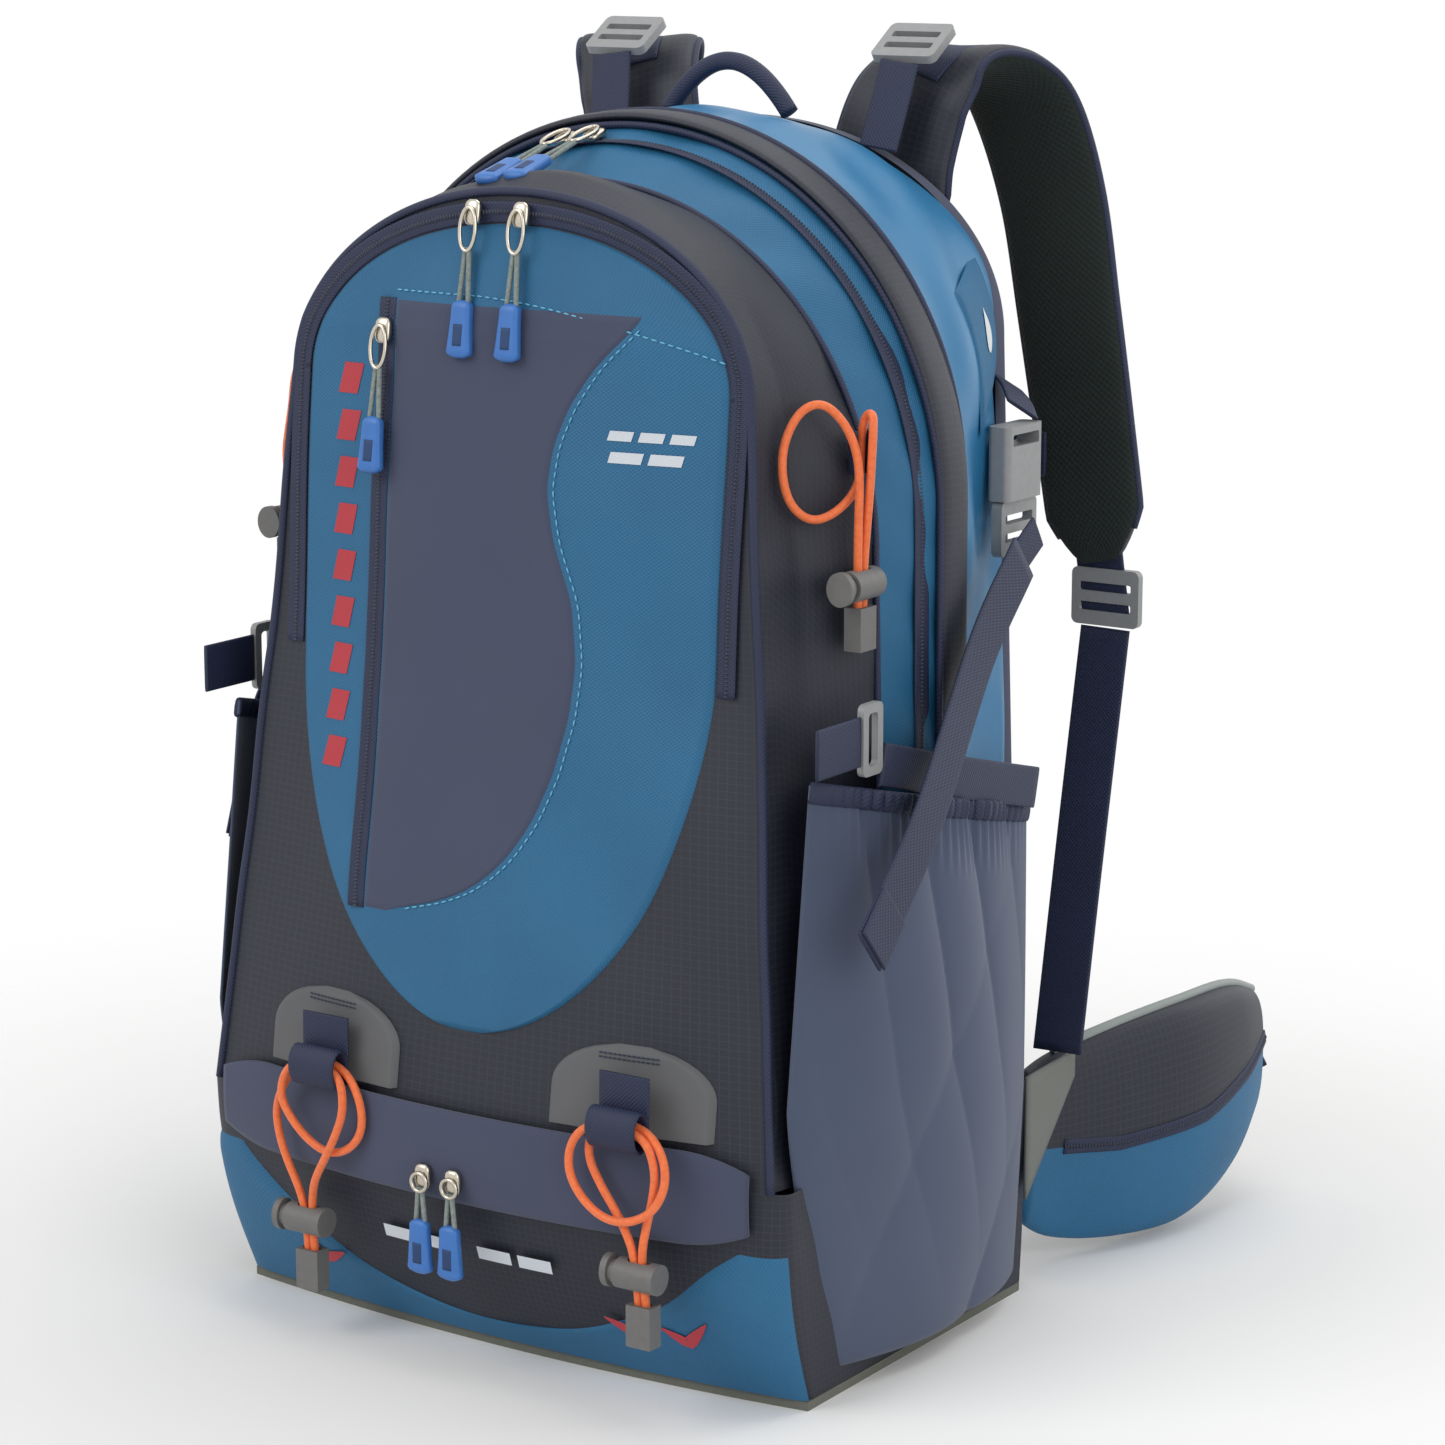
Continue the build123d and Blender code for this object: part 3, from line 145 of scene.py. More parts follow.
# ---- elastic cords -----------------------------------------------------------------------------
# Four lengths of 3.6 mm shock cord, rubber strands in a braided orange polyester cover. Each
# makes a ring through its webbing loop, and both its strands run down through a cord lock.
cord_diameter = 3.6
cord_routes = {
    "bungee_front_right": (0.3215, [
        (99.0, -143.4, 48), (98.4, -143.4, 57), (97.2, -143.4, 66), (95.4, -143.2, 76), (88, -142.6, 88),
        (79, -142.2, 99), (72, -142.0, 111), (75, -141.8, 124.0), (88, -141.7, 127.4), (101.5, -141.7, 126.6),
        (110, -142.0, 118), (112.5, -142.8, 106), (108, -144.8, 94), (97, -146.2, 87), (84, -146.4, 86),
        (72, -146.2, 93), (65, -146.0, 104), (66.5, -146.0, 116.5), (75, -145.8, 125.4), (89, -145.7, 126.6),
        (103.5, -145.2, 124.4), (107.5, -143.4, 111), (105, -141.8, 98), (102, -141.6, 87),
        (100.2, -142.8, 76), (100.7, -143.4, 66), (101.8, -143.4, 57), (103.0, -143.4, 48)]),
    "bungee_front_left": (0.3421, [
        (-80.0, -139.9, 38), (-80.5, -139.9, 47), (-81.5, -139.9, 57), (-84.5, -140.2, 67), (-90, -141.0, 78),
        (-94, -141.6, 90), (-95, -142.0, 102), (-90, -142.0, 114), (-82.5, -141.8, 125.0), (-69, -141.7,
            128.0),
        (-55.5, -141.8, 125.0), (-48, -142.0, 114), (-46, -142.4, 101), (-52, -142.8, 91), (-64, -143.0, 86),
        (-75, -143.4, 90), (-84, -144.8, 99), (-90, -145.6, 110), (-84.5, -145.8, 124.2), (-70, -145.8,
            126.6),
        (-55.5, -146.0, 124.2), (-53, -146.6, 109), (-58, -147.2, 96), (-65, -146.4, 84), (-73, -143.4, 73),
        (-77.0, -140.2, 63), (-77.4, -139.9, 53), (-76.8, -139.9, 43), (-76.0, -139.9, 35)]),
    "bungee_side_right": (0.2908, [
        (149.0, -58.0, 333), (149.0, -58.0, 344), (148.8, -57.8, 356), (148.4, -56.8, 370), (148.4,
            -56.0, 385),
        (147.3, -56.2, 398), (142.4, -58.0, 410), (135, -63.0, 418.5), (128.5, -70, 415.5), (124.8,
            -76.5, 403),
        (125.2, -78.5, 389), (128, -76, 376.5), (133.5, -68, 369.5), (139.5, -57.5, 373.5), (143.6,
            -48.9, 383),
        (144, -48.4, 394), (144.2, -48.3, 404.5), (146, -48.0, 412.5), (150.6, -49.6, 413.5), (151.8,
            -51.5, 406),
        (151.5, -51.9, 396), (151.0, -52.3, 383), (150.2, -53.0, 369), (149.4, -53.6, 356),
        (149, -53.8, 344), (149, -53.8, 333)]),
    "bungee_side_left": (0.1644, [
        (-150.5, -58.6, 335), (-150.5, -58.6, 346), (-150.7, -58.5, 356), (-150, -57.6, 365), (-147,
            -53.6, 374),
        (-143.8, -48.9, 383.5), (-144, -48.4, 395), (-144.2, -48.3, 405), (-146, -48.0, 412.5),
        (-150.6, -49.6, 413.5), (-151.9, -51.5, 406), (-152, -52.8, 396), (-153.4, -54, 385), (-155,
            -54.6, 374),
        (-153.8, -54.6, 363), (-151.0, -54.6, 353), (-150.5, -54.6, 343), (-150.5, -54.6, 334)]),
}

# Braided polyester cover: a bright, slightly shiny skin with the braid's small diamonds, drawn
# at 2 mm, coarser than the real 0.8 mm, so that they show.
braid_pitch = 2.0
cord_cover, tree = blank_material("braided_orange_polyester")
place = add_node(tree, "TexCoord", {}, {})
braid = add_node(tree, "TexVoronoi", {}, {"Vector": place.outputs["Object"], "Scale": 1000 / braid_pitch})
shade = add_node(tree, "MapRange", {}, {0: braid.outputs["Distance"], 1: 0.0, 2: 0.9, 3: 0.0, 4: 0.5})
tint = add_node(tree, "MixRGB", {}, {0: shade.outputs[0], 1: linear("#ff8146"), 2: linear("#e0591c")})
relief = add_node(tree, "Bump", {"invert": True},
    {"Strength": 0.35, "Distance": 0.0003, "Height": braid.outputs["Distance"]})
skin = add_node(tree, "BsdfPrincipled", {}, {"Base Color": tint.outputs[0], "Roughness": 0.5,
    "Sheen Weight": 0.2, "Normal": relief.outputs[0]})
add_node(tree, "OutputMaterial", {}, {"Surface": skin.outputs[0]})

for cord_name, (cord_length, route) in cord_routes.items():
    line = bpy.data.curves.new(cord_name + "_cord", "CURVE")
    line.dimensions = "3D"
    line.bevel_depth = cord_diameter / 2000
    line.bevel_resolution = 4
    line.resolution_u = 8
    line.use_fill_caps = True
    spline = line.splines.new("NURBS")
    spline.points.add(len(route) - 1)
    homogeneous = np.column_stack([np.array(route) / 1000, np.ones(len(route))])
    spline.points.foreach_set("co", homogeneous.astype(np.float32).ravel())
    spline.order_u = 3
    spline.use_endpoint_u = True
    line.materials.append(cord_cover)
    cord = bpy.data.objects.new(cord_name + "_cord", line)
    scene.collection.objects.link(cord)
    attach(cord, "bag")
    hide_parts(cord_name)

# ---- main compartment --------------------------------------------------------------------------
# The bag's rear half, cut from smooth coated nylon and sewn over the arch, and in front of it a
# narrower arch of coarser oxford cloth that carries the main zip.
body_depths = [-150.0, -90.0, -70.0, -40.0, 5.0, 82.0, 142.0]
body_halves = [112.0, 117.0, 120.0, 146.0, 155.0, 130.0, 130.0]
body_rises = [70.0, 77.0, 104.0, 146.0, 155.0, 92.0, 92.0]
body_centres = [420.0, 420.0, 400.0, 354.0, 369.0, 430.0, 430.0]
body_bases = [146.0, 148.0, 150.0, 152.0, 156.0, 142.0, 142.0]
body_floor = 101.0
arch_share = 0.47


def arch_points(depth, share, grow=0.0, floor=body_floor):
    """Points of the bag's arch: share runs from 0 at one foot to 1 at the other. The middle is
    a half ellipse, and the sides are straight from its ends down to the floor height."""
    depth, share = np.broadcast_arrays(np.asarray(depth, float), np.asarray(share, float))
    half, rise, centre, base = (np.interp(depth, body_depths, row) for row in (body_halves, body_rises,
        body_centres, body_bases))
    away = np.abs(2 * share - 1)
    angle = np.clip(away / arch_share, 0, 1) * math.pi / 2
    drop = np.clip((away - arch_share) / (1 - arch_share), 0, 1)
    height = np.where(drop > 0, centre + (floor - centre) * drop, centre + (rise + grow) * np.cos(angle))
    lean = np.clip((centre - height) / (centre - body_floor), 0, 1)
    across = np.where(drop > 0, half + grow + (base - half) * lean, (half + grow) * np.sin(angle))
    return np.stack([np.sign(share - 0.5) * across, depth, height], axis=-1)


def creased(grid, depth, wavelength, seed, inside=(0, 0, 280)):
    """A grid pushed along its normals by a sum of six plane sine waves with random directions."""
    rows = np.gradient(grid, axis=0)
    columns = np.gradient(grid, axis=1)
    normal = np.cross(rows, columns)
    normal /= np.linalg.norm(normal, axis=-1, keepdims=True) + 1e-9
    outward = np.sign(np.sum(normal * (grid - np.array(inside)), axis=-1, keepdims=True))
    random = np.random.default_rng(seed)
    wave = np.zeros(grid.shape[:2])
    for _ in range(6):
        way = random.normal(size=3)
        way *= 2 * math.pi / (wavelength * random.uniform(0.6, 1.6) * np.linalg.norm(way))
        wave += np.sin(grid @ way + random.uniform(0, 2 * math.pi))
    return grid + normal * outward * (depth * wave / 3)[..., None]


def piece_from(name, parts, materials):
    """Mesh object from grids of points. Each part is (grid, how, material number): how has "w"
    if its columns close in a ring, "e" if its ends close to a point, and its map is in metres."""
    points, faces, maps, numbers, start = [], [], [], [], 0
    for grid, how, number in parts:
        grid = np.asarray(grid, float)
        if "e" in how:
            ends = [np.repeat(row.mean(axis=0)[None, None], grid.shape[1], axis=1) for row in (grid[0],
                grid[-1])]
            grid = np.concatenate([ends[0], grid, ends[1]], axis=0)
        index = np.arange(grid.shape[0] * grid.shape[1]).reshape(grid.shape[:2])
        spread = grid
        if "w" in how:
            index = np.concatenate([index, index[:, :1]], axis=1)
            spread = np.concatenate([grid, grid[:, :1]], axis=1)
        quads = np.stack([index[:-1, :-1], index[:-1, 1:], index[1:, 1:], index[1:, :-1]], -1).reshape(-1, 4)
        steps_u = np.linalg.norm(np.diff(spread, axis=1), axis=-1).mean(axis=0)
        steps_v = np.linalg.norm(np.diff(spread, axis=0), axis=-1).mean(axis=1)
        u, v = np.meshgrid(np.r_[0, np.cumsum(steps_u)], np.r_[0, np.cumsum(steps_v)])
        laid = np.stack([u, v], -1) / 1000
        corners = np.stack([laid[:-1, :-1], laid[:-1, 1:], laid[1:, 1:], laid[1:, :-1]], -2).reshape(-1, 4, 2)
        flat = grid.reshape(-1, 3)
        centre = flat[quads].mean(axis=1)
        diagonal = np.cross(flat[quads[:, 2]] - flat[quads[:, 0]], flat[quads[:, 3]] - flat[quads[:, 1]])
        middle = np.repeat(grid.mean(axis=1), quads.shape[0] // (grid.shape[0] - 1),
            axis=0)[:len(quads)] if "w" in how else np.array([0, 0, 280.0])
        if np.sum(diagonal * (centre - middle)) < 0:
            quads, corners = quads[:, ::-1], corners[:, ::-1]
        points.append(flat / 1000)
        faces.append(quads + start)
        maps.append(corners)
        numbers.append(np.full(len(quads), number))
        start += len(flat)
    points, faces = np.concatenate(points), np.concatenate(faces)
    mesh = bpy.data.meshes.new(name)
    mesh.from_pydata(points.tolist(), [], faces.tolist())
    layer = mesh.uv_layers.new(name="cloth_map")
    layer.data.foreach_set("uv", np.concatenate(maps).astype(np.float32).ravel())
    for material in materials:
        mesh.materials.append(material)
    mesh.polygons.foreach_set("material_index", np.concatenate(numbers).astype(np.int32))
    mesh.polygons.foreach_set("use_smooth", np.ones(len(faces), bool))
    mesh.update()
    made = bpy.data.objects.new(name, mesh)
    scene.collection.objects.link(made)
    return made


def fitted(piece, body, slot, *nodes):
    """The piece rides on a body and stands for CAD nodes, which it hides. The slot is not used."""
    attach(piece, body)
    if nodes:
        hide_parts(*nodes)
    return piece


def woven(name, colour, shadow, thread, roughness, depth, grid=0.0, grid_colour="#ffffff", sheen=0.0):
    """Woven cloth: two crossed sine waves one thread apart on the piece's own map make the weave,
    slow noise varies its shade, and a square grid of thicker threads makes it a ripstop."""
    material, tree = blank_material(name)
    laid = add_node(tree, "UVMap", {"uv_map": "cloth_map"}, {})
    place = add_node(tree, "TexCoord", {}, {})
    axes = add_node(tree, "SeparateXYZ", {}, {0: laid.outputs[0]})
    waves = []
    for axis in (0, 1):
        turn = add_node(tree, "Math", {"operation": "MULTIPLY"},
            {0: axes.outputs[axis], 1: 2000 * math.pi / thread})
        waves.append(add_node(tree, "Math", {"operation": "SINE"}, {0: turn.outputs[0]}))
    weave = add_node(tree, "Math", {"operation": "MULTIPLY"},
        {0: waves[0].outputs[0], 1: waves[1].outputs[0]})
    cloud = add_node(tree, "TexNoise", {}, {"Vector": place.outputs["Object"], "Scale": 22.0, "Detail": 4.0})
    light = add_node(tree, "MapRange", {}, {0: weave.outputs[0], 1: -1.0, 2: 1.0, 3: 0.0, 4: 0.45})
    mixed = add_node(tree, "Math", {"operation": "MULTIPLY_ADD"},
        {0: cloud.outputs[0], 1: 0.6, 2: light.outputs[0]})
    tint = add_node(tree, "MixRGB", {}, {0: mixed.outputs[0], 1: linear(colour), 2: linear(shadow)})
    shown, height = tint, weave
    if grid:
        lines = []
        for axis in (0, 1):
            swing = add_node(tree, "Math", {"operation": "PINGPONG"}, {0: axes.outputs[axis], 1: grid / 2000})
            lines.append(add_node(tree, "Math", {"operation": "LESS_THAN"},
                {0: swing.outputs[0], 1: grid / 14000}))
        square = add_node(tree, "Math", {"operation": "MAXIMUM"},
            {0: lines[0].outputs[0], 1: lines[1].outputs[0]})
        share = add_node(tree, "Math", {"operation": "MULTIPLY"}, {0: square.outputs[0], 1: 0.45})
        shown = add_node(tree, "MixRGB", {}, {0: share.outputs[0], 1: tint.outputs[0],
            2: linear(grid_colour)})
        height = add_node(tree, "Math", {"operation": "ADD"}, {0: weave.outputs[0], 1: square.outputs[0]})
    relief = add_node(tree, "Bump", {}, {"Strength": 0.5, "Distance": depth / 1000,
        "Height": height.outputs[0]})
    skin = add_node(tree, "BsdfPrincipled", {},
        {"Base Color": shown.outputs[0], "Roughness": roughness, "Sheen Weight": sheen,
        "Normal": relief.outputs[0]})
    add_node(tree, "OutputMaterial", {}, {"Surface": skin.outputs[0]})
    return material


# Coated nylon is close woven and a little shiny; oxford cloth has plump threads that show as a
# fine dotted texture; ripstop is thin and dark with a pale square grid, drawn at 3.2 mm.
smooth_nylon = woven("coated_smooth_nylon", "#3684b4", "#28709f", 0.9, 0.4, 0.04)
oxford_cloth = woven("oxford_polyester", "#24729f", "#175479", 1.6, 0.58, 0.16)
dark_ripstop = woven("ripstop_nylon", "#1b1f2c", "#121520", 0.8, 0.52, 0.05, grid=3.2, grid_colour="#2e3447")
softshell_cloth = woven("softshell_polyester", "#484f68", "#3b4158", 0.7, 0.85, 0.03, sheen=0.15)
navy_webbing = woven("woven_navy_webbing", "#212c4c", "#121933", 1.8, 0.62, 0.2)

around = np.linspace(0, 1, 221)
rear_depths = np.linspace(13, 82, 30)[:, None]
puff = 3.0 * np.sin(np.clip((rear_depths - 13) / 69, 0, 1) * math.pi)
rear_half = creased(arch_points(rear_depths, around[None], puff), 2.0, 48, 3)
rear_section = piece_from("rear_section", [(rear_half, "", 0)], [smooth_nylon])
fitted(rear_section, "bag", "nylon", "main_compartment")

zip_arch_depths = np.linspace(-41, 14, 26)[:, None]
swell = 1.2 * np.sin((zip_arch_depths + 41) / 55 * math.pi)
zip_arch = piece_from("zip_arch_band", [(creased(arch_points(zip_arch_depths, around[None], swell), 1.0,
    45, 5), "", 0)], [oxford_cloth])
fitted(zip_arch, "bag", "oxford")

# A square patch over the drinking tube's port, sewn on behind the flap, with a plain white drop.
port_front, port_rear = 44, 78
port_top, port_foot = 0.67, 0.742
port_depths = np.linspace(port_front, port_rear, 24)
port_depth, port_share = np.meshgrid(port_depths, np.linspace(port_top, port_foot, 24), indexing="ij")
depth_edge = np.minimum(port_depth - port_front, port_rear - port_depth) / 2
share_edge = np.minimum(port_share - port_top, port_foot - port_share) * 250
port_edge = np.clip(np.minimum(depth_edge, share_edge), 0, 1)
port_puff = 3.0 * np.sin(np.clip((port_depth - 13) / 69, 0, 1) * math.pi)
port_grid = arch_points(port_depth, port_share, port_puff + 0.6 + 1.6 * np.sqrt(port_edge))
drop_turn, drop_ring = np.meshgrid(np.linspace(0, 2 * math.pi, 40), np.linspace(0.02, 1, 8), indexing="ij")
drop_width = 5.5 * np.sin(drop_turn) * np.sin(drop_turn / 2) ** 1.5 * drop_ring
drop_height = 8.0 * np.cos(drop_turn) * drop_ring
drop_depth, drop_share = 62 + drop_width, 0.705 - drop_height / 640
drop_puff = 3.0 * np.sin(np.clip((drop_depth - 13) / 69, 0, 1) * math.pi)
drop_grid = arch_points(drop_depth, drop_share, drop_puff + 2.6)
white_print = woven("white_printed_ink", "#eef2f4", "#dfe5e8", 0.9, 0.6, 0.02)
port = piece_from("tube_port_patch", [(port_grid, "", 0), (drop_grid, "", 1)], [oxford_cloth, white_print])
fitted(port, "bag", "nylon")

# ---- storm flap and main zip -------------------------------------------------------------------
# A soft padded arch of ripstop with a corded edge on each side stands over the main zip, whose
# nylon coil runs on a navy tape just in front of it.


def swept(path, profile, facing):
    """A profile carried along a path: each point is the path, plus the profile's first number
    across it, plus its second along the facing direction squared up to the path."""
    path = np.asarray(path, float)
    run = np.gradient(path, axis=0)
    run /= np.linalg.norm(run, axis=1, keepdims=True) + 1e-9
    facing = np.broadcast_to(np.asarray(facing, float), path.shape)
    out = facing - run * np.sum(facing * run, axis=1, keepdims=True)
    out /= np.linalg.norm(out, axis=1, keepdims=True) + 1e-9
    across = np.cross(run, out)
    profile = np.asarray(profile, float)
    if profile.ndim == 2:
        profile = np.broadcast_to(profile, (len(path), *profile.shape))
    return path[:, None] + profile[..., :1] * across[:, None] + profile[..., 1:] * out[:, None]


def rounded(width, thickness, power=4.0, count=20):
    """Cross-section between an ellipse and a box: cosine and sine raised to 2 over the power."""
    angle = np.linspace(0, 2 * math.pi, count, endpoint=False)
    along, up = np.cos(angle), np.sin(angle)
    return np.column_stack([
        width / 2 * np.sign(along) * np.abs(along) ** (2 / power),
        thickness / 2 * np.sign(up) * np.abs(up) ** (2 / power),
    ])


def outward_at(path):
    """Direction away from the bag's axis at each point of an arch."""
    away = np.array(path) - np.array([0, 0, 340.0])
    away[:, 1] = 0
    return away


flap_path = arch_points(np.full(161, 5.0), np.linspace(0, 1, 161), 1.4, 158.0)
flap_parts = [(swept(flap_path, rounded(21, 4.6, 2.6), outward_at(flap_path)), "we", 0)]
for edge_depth in (-5.0, 15.0):
    edge_path = arch_points(np.full(161, edge_depth), np.linspace(0, 1, 161), 3.0, 158.0)
    flap_parts.append((swept(edge_path, rounded(3.2, 3.2, 2.0, 10), outward_at(edge_path)), "we", 1))
flap = piece_from("storm_flap_arch", flap_parts, [dark_ripstop, navy_webbing])
fitted(flap, "bag", "ripstop", "storm_flap")

# Coil zip: a nylon coil, glossy and nearly black, whose teeth are ridges 1.6 mm apart.
coil_nylon, tree = blank_material("nylon_zip_coil")
place = add_node(tree, "TexCoord", {}, {})
grain = add_node(tree, "TexNoise", {}, {"Vector": place.outputs["Object"], "Scale": 900.0})
tint = add_node(tree, "MixRGB", {}, {0: grain.outputs[0], 1: linear("#1b2033"), 2: linear("#2a3046")})
skin = add_node(tree, "BsdfPrincipled", {}, {"Base Color": tint.outputs[0], "Roughness": 0.38})
add_node(tree, "OutputMaterial", {}, {"Surface": skin.outputs[0]})


def zip_parts(path, facing, tape=9.0, coil=3.2, pitch=1.6):
    """A tape along a path with a half-round coil on it, whose height rises and falls by a sine
    once in each tooth pitch. The path is first divided evenly, six points to a tooth."""
    path = np.asarray(path, float)
    length = np.r_[0, np.cumsum(np.linalg.norm(np.diff(path, axis=0), axis=1))]
    even = np.linspace(0, length[-1], int(length[-1] / pitch * 6))
    fine = np.column_stack([np.interp(even, length, path[:, axis]) for axis in range(3)])
    facing = np.broadcast_to(np.asarray(facing, float), path.shape)
    turned = np.column_stack([np.interp(even, length, facing[:, axis]) for axis in range(3)])
    tooth = 0.72 + 0.28 * np.sin(2 * math.pi * even / pitch)
    bead = rounded(coil, 2.4, 2.0, 8)[None] * tooth[:, None, None]
    return [(swept(path, rounded(tape, 1.0, 5.0, 12), facing), "we", 0), (swept(fine, bead, turned), "we", 1)]


main_zip_path = arch_points(np.full(161, -14.0), np.linspace(0, 1, 161), 1.2, 190.0)
main_zip = piece_from("main_coil_zip", zip_parts(main_zip_path, outward_at(main_zip_path), 11.0),
    [navy_webbing, coil_nylon])
fitted(main_zip, "bag", "coil", "main_zip")

# ---- front pocket ------------------------------------------------------------------------------
# The front pocket is a ripstop shell: a gently crowned front and a gusset that joins it to the
# zip arch, with a navy binding over the seam between them.
front_heights = [101.0, 300.0, 440.0, 540.0]
front_middles = [-137.0, -109.0, -97.0, -78.0]
front_sides = [-118.0, -93.0, -82.0, -66.0]
front_reach = 150.0


def front_depth(across, height):
    """Depth of the front: straight between its heights, and a parabola across the pack. Slow
    sine ripples, which die out at the top and at the foot, give it the slack of sewn cloth."""
    middle = np.interp(height, front_heights, front_middles)
    side = np.interp(height, front_heights, front_sides)
    slack = np.clip((height - 155) / 40, 0, 1) * np.clip((482 - height) / 30, 0, 1)
    ripple = np.sin(across / 19 + height / 47) * np.sin(height / 33 - across / 55)
    ripple = ripple + 0.5 * np.sin(height / 15 + across / 29) * np.sin(across / 37)
    return middle + (side - middle) * (across / front_reach) ** 2 - 1.2 * slack * ripple


rim = arch_points(-95.0, around)
for _ in range(14):
    rim = arch_points(0.5 * rim[:, 1] + 0.5 * front_depth(rim[:, 0], rim[:, 2]), around)
half_rim = rim[:111]
sweep_across = np.linspace(-1, 1, 101)[None]
front_x = -half_rim[:, :1] * sweep_across
front_z = np.broadcast_to(half_rim[:, 2:], front_x.shape)
front_grid = np.stack([front_x, front_depth(front_x, front_z), front_z], axis=-1)
gusset_steps = np.linspace(0, 1, 22)[:, None]
gusset_depths = rim[None, :, 1] + (-40.0 - rim[None, :, 1]) * gusset_steps
gusset_swell = 2.0 * np.sin(gusset_steps * math.pi)
gusset_grid = creased(arch_points(gusset_depths, around[None], gusset_swell), 1.0, 46, 8)
front_shell = piece_from("front_pocket_shell", [(front_grid, "", 0), (gusset_grid, "", 0)], [dark_ripstop])
fitted(front_shell, "bag", "ripstop", "front_pocket", "lower_front_panel")

seams = [(swept(rim, rounded(4.0, 4.0, 2.0, 12), outward_at(rim)), "we", 0)]
gusset_seam = arch_points(np.full(221, -40.0), around, 0.6)
seams.append((swept(gusset_seam, rounded(3.0, 2.6, 2.0, 10), outward_at(gusset_seam)), "we", 0))
bindings = piece_from("seam_bindings", seams, [navy_webbing])
fitted(bindings, "bag", "webbing_navy")

# ---- face, softshell and their seams -----------------------------------------------------------
# The oxford face is egg shaped. On it lies a waisted softshell panel beside an upright pocket
# zip, held by dashed light blue top stitching.
face_side = 108.0
face_centre = 420.0
face_top = 485.0
face_waist = 315.0
face_foot = 149.0


def face_half(height):
    """Half-width of the face: an ellipse over the top, straight sides, an ellipse below."""
    above = np.clip((height - face_centre) / (face_top - face_centre), 0, 1)
    below = np.clip((face_waist - height) / (face_waist - face_foot), 0, 1)
    return face_side * np.sqrt(1 - above ** 2) * np.sqrt(1 - below ** 2)


def laid_panel(low, high, left_edge, right_edge, lift, thickness, rows=150, columns=90):
    """Cloth laid on the front between two edge lines: it rises to its thickness within 3 mm of
    any edge, as the square root of the distance, and its edge is sunk into the cloth below."""
    height = low + (high - low) * (0.5 - 0.5 * np.cos(np.linspace(0, math.pi, rows)))[:, None]
    share = (0.5 - 0.5 * np.cos(np.linspace(0, math.pi, columns)))[None]
    left, right = left_edge(height), right_edge(height)
    across = left + (right - left) * share
    edge = np.minimum(np.minimum(across - left, right - across),
        np.minimum(height - low, high - height) + 0 * across)
    rise = -0.6 + (thickness + 0.6) * np.sqrt(np.clip(edge / 3.0, 0, 1))
    depth = front_depth(across, height) - lift - rise
    return np.stack([across, depth, height + 0 * across], axis=-1)


face_grid = laid_panel(face_foot, face_top, lambda z: -face_half(z), face_half, 0.0, 1.8)
face = piece_from("oxford_face", [(face_grid, "", 0)], [oxford_cloth])
fitted(face, "bag", "oxford", "face_panel")

shell_left = -58.3
shell_heights = [193, 197, 203, 212, 224, 240, 262, 285, 308, 333, 357, 378, 397, 414, 430, 446, 452]
shell_rights = [-54, -32, -12, 4, 17, 28, 38, 44, 45, 41, 31, 27, 30, 37, 48, 65, 70]


def shell_right(height):
    """Right edge of the softshell: straight between its stations, then averaged over 10 mm."""
    return sum(np.interp(height + step, shell_heights, shell_rights) for step in range(-5, 6)) / 11


shell_grid = laid_panel(193.0, 452.0, lambda z: np.full_like(z, shell_left), shell_right, 1.6, 1.0)
softshell = piece_from("softshell_inset", [(shell_grid, "", 0)], [softshell_cloth])
fitted(softshell, "bag", "softshell", "softshell_panel")

stash_path_z = np.linspace(193, 452, 80)
stash_path = np.column_stack([np.full(80, -62.6), front_depth(-62.6, stash_path_z) - 2.3, stash_path_z])
ring_turn = np.linspace(-0.5 * math.pi, 0.5 * math.pi, 90)
ring_side = np.linspace(300, 420, 40)
ring_x = np.concatenate([np.full(40, -113.0), 113.0 * np.sin(ring_turn), np.full(40, 113.0)])
ring_z = np.concatenate([ring_side, 420 + 70 * np.cos(ring_turn), ring_side[::-1]])
ring_path = np.column_stack([ring_x, front_depth(ring_x, ring_z) - 0.9, ring_z])
front_zips = piece_from("front_coil_zips", zip_parts(stash_path, (0, -1, 0)) + zip_parts(ring_path,
    (0, -1, 0)), [navy_webbing, coil_nylon])
fitted(front_zips, "bag", "coil", "front_zips")

# Top stitching: bonded polyester thread, light blue and slightly shiny, one stitch every 4 mm.
stitch_thread = bpy.data.materials.new("bonded_light_blue_thread")
stitch_thread.use_nodes = True
tree = stitch_thread.node_tree
skin = tree.nodes["Principled BSDF"]
skin.inputs["Roughness"].default_value = 0.45
place = add_node(tree, "TexCoord", {}, {})
twist = add_node(tree, "TexNoise", {}, {"Vector": place.outputs["Object"], "Scale": 1500.0})
tint = add_node(tree, "MixRGB", {}, {0: twist.outputs[0], 1: linear("#7cc6e6"), 2: linear("#4fa3ca")})
tree.links.new(tint.outputs[0], skin.inputs["Base Color"])


def stitches(path, facing, pitch=4.0, stitch=2.7, gauge=0.8):
    """Short round stitches along a path: each is a tube with tapered ends, one to a pitch."""
    path = np.asarray(path, float)
    length = np.r_[0, np.cumsum(np.linalg.norm(np.diff(path, axis=0), axis=1))]
    parts = []
    for start in np.arange(0.5, length[-1] - stitch, pitch):
        spots = np.linspace(start, start + stitch, 4)
        run = np.column_stack([np.interp(spots, length, path[:, axis]) for axis in range(3)])
        girth = np.array([0.5, 1.0, 1.0, 0.5])[:, None, None]
        parts.append((swept(run, rounded(gauge, gauge, 2.0, 6)[None] * girth, facing), "we", 0))
    return parts


def on_front(across, height, lift):
    """A line on the pack's front, lifted off it."""
    across, height = np.asarray(across, float), np.asarray(height, float)
    return np.column_stack([across, front_depth(across, height) - lift, height])


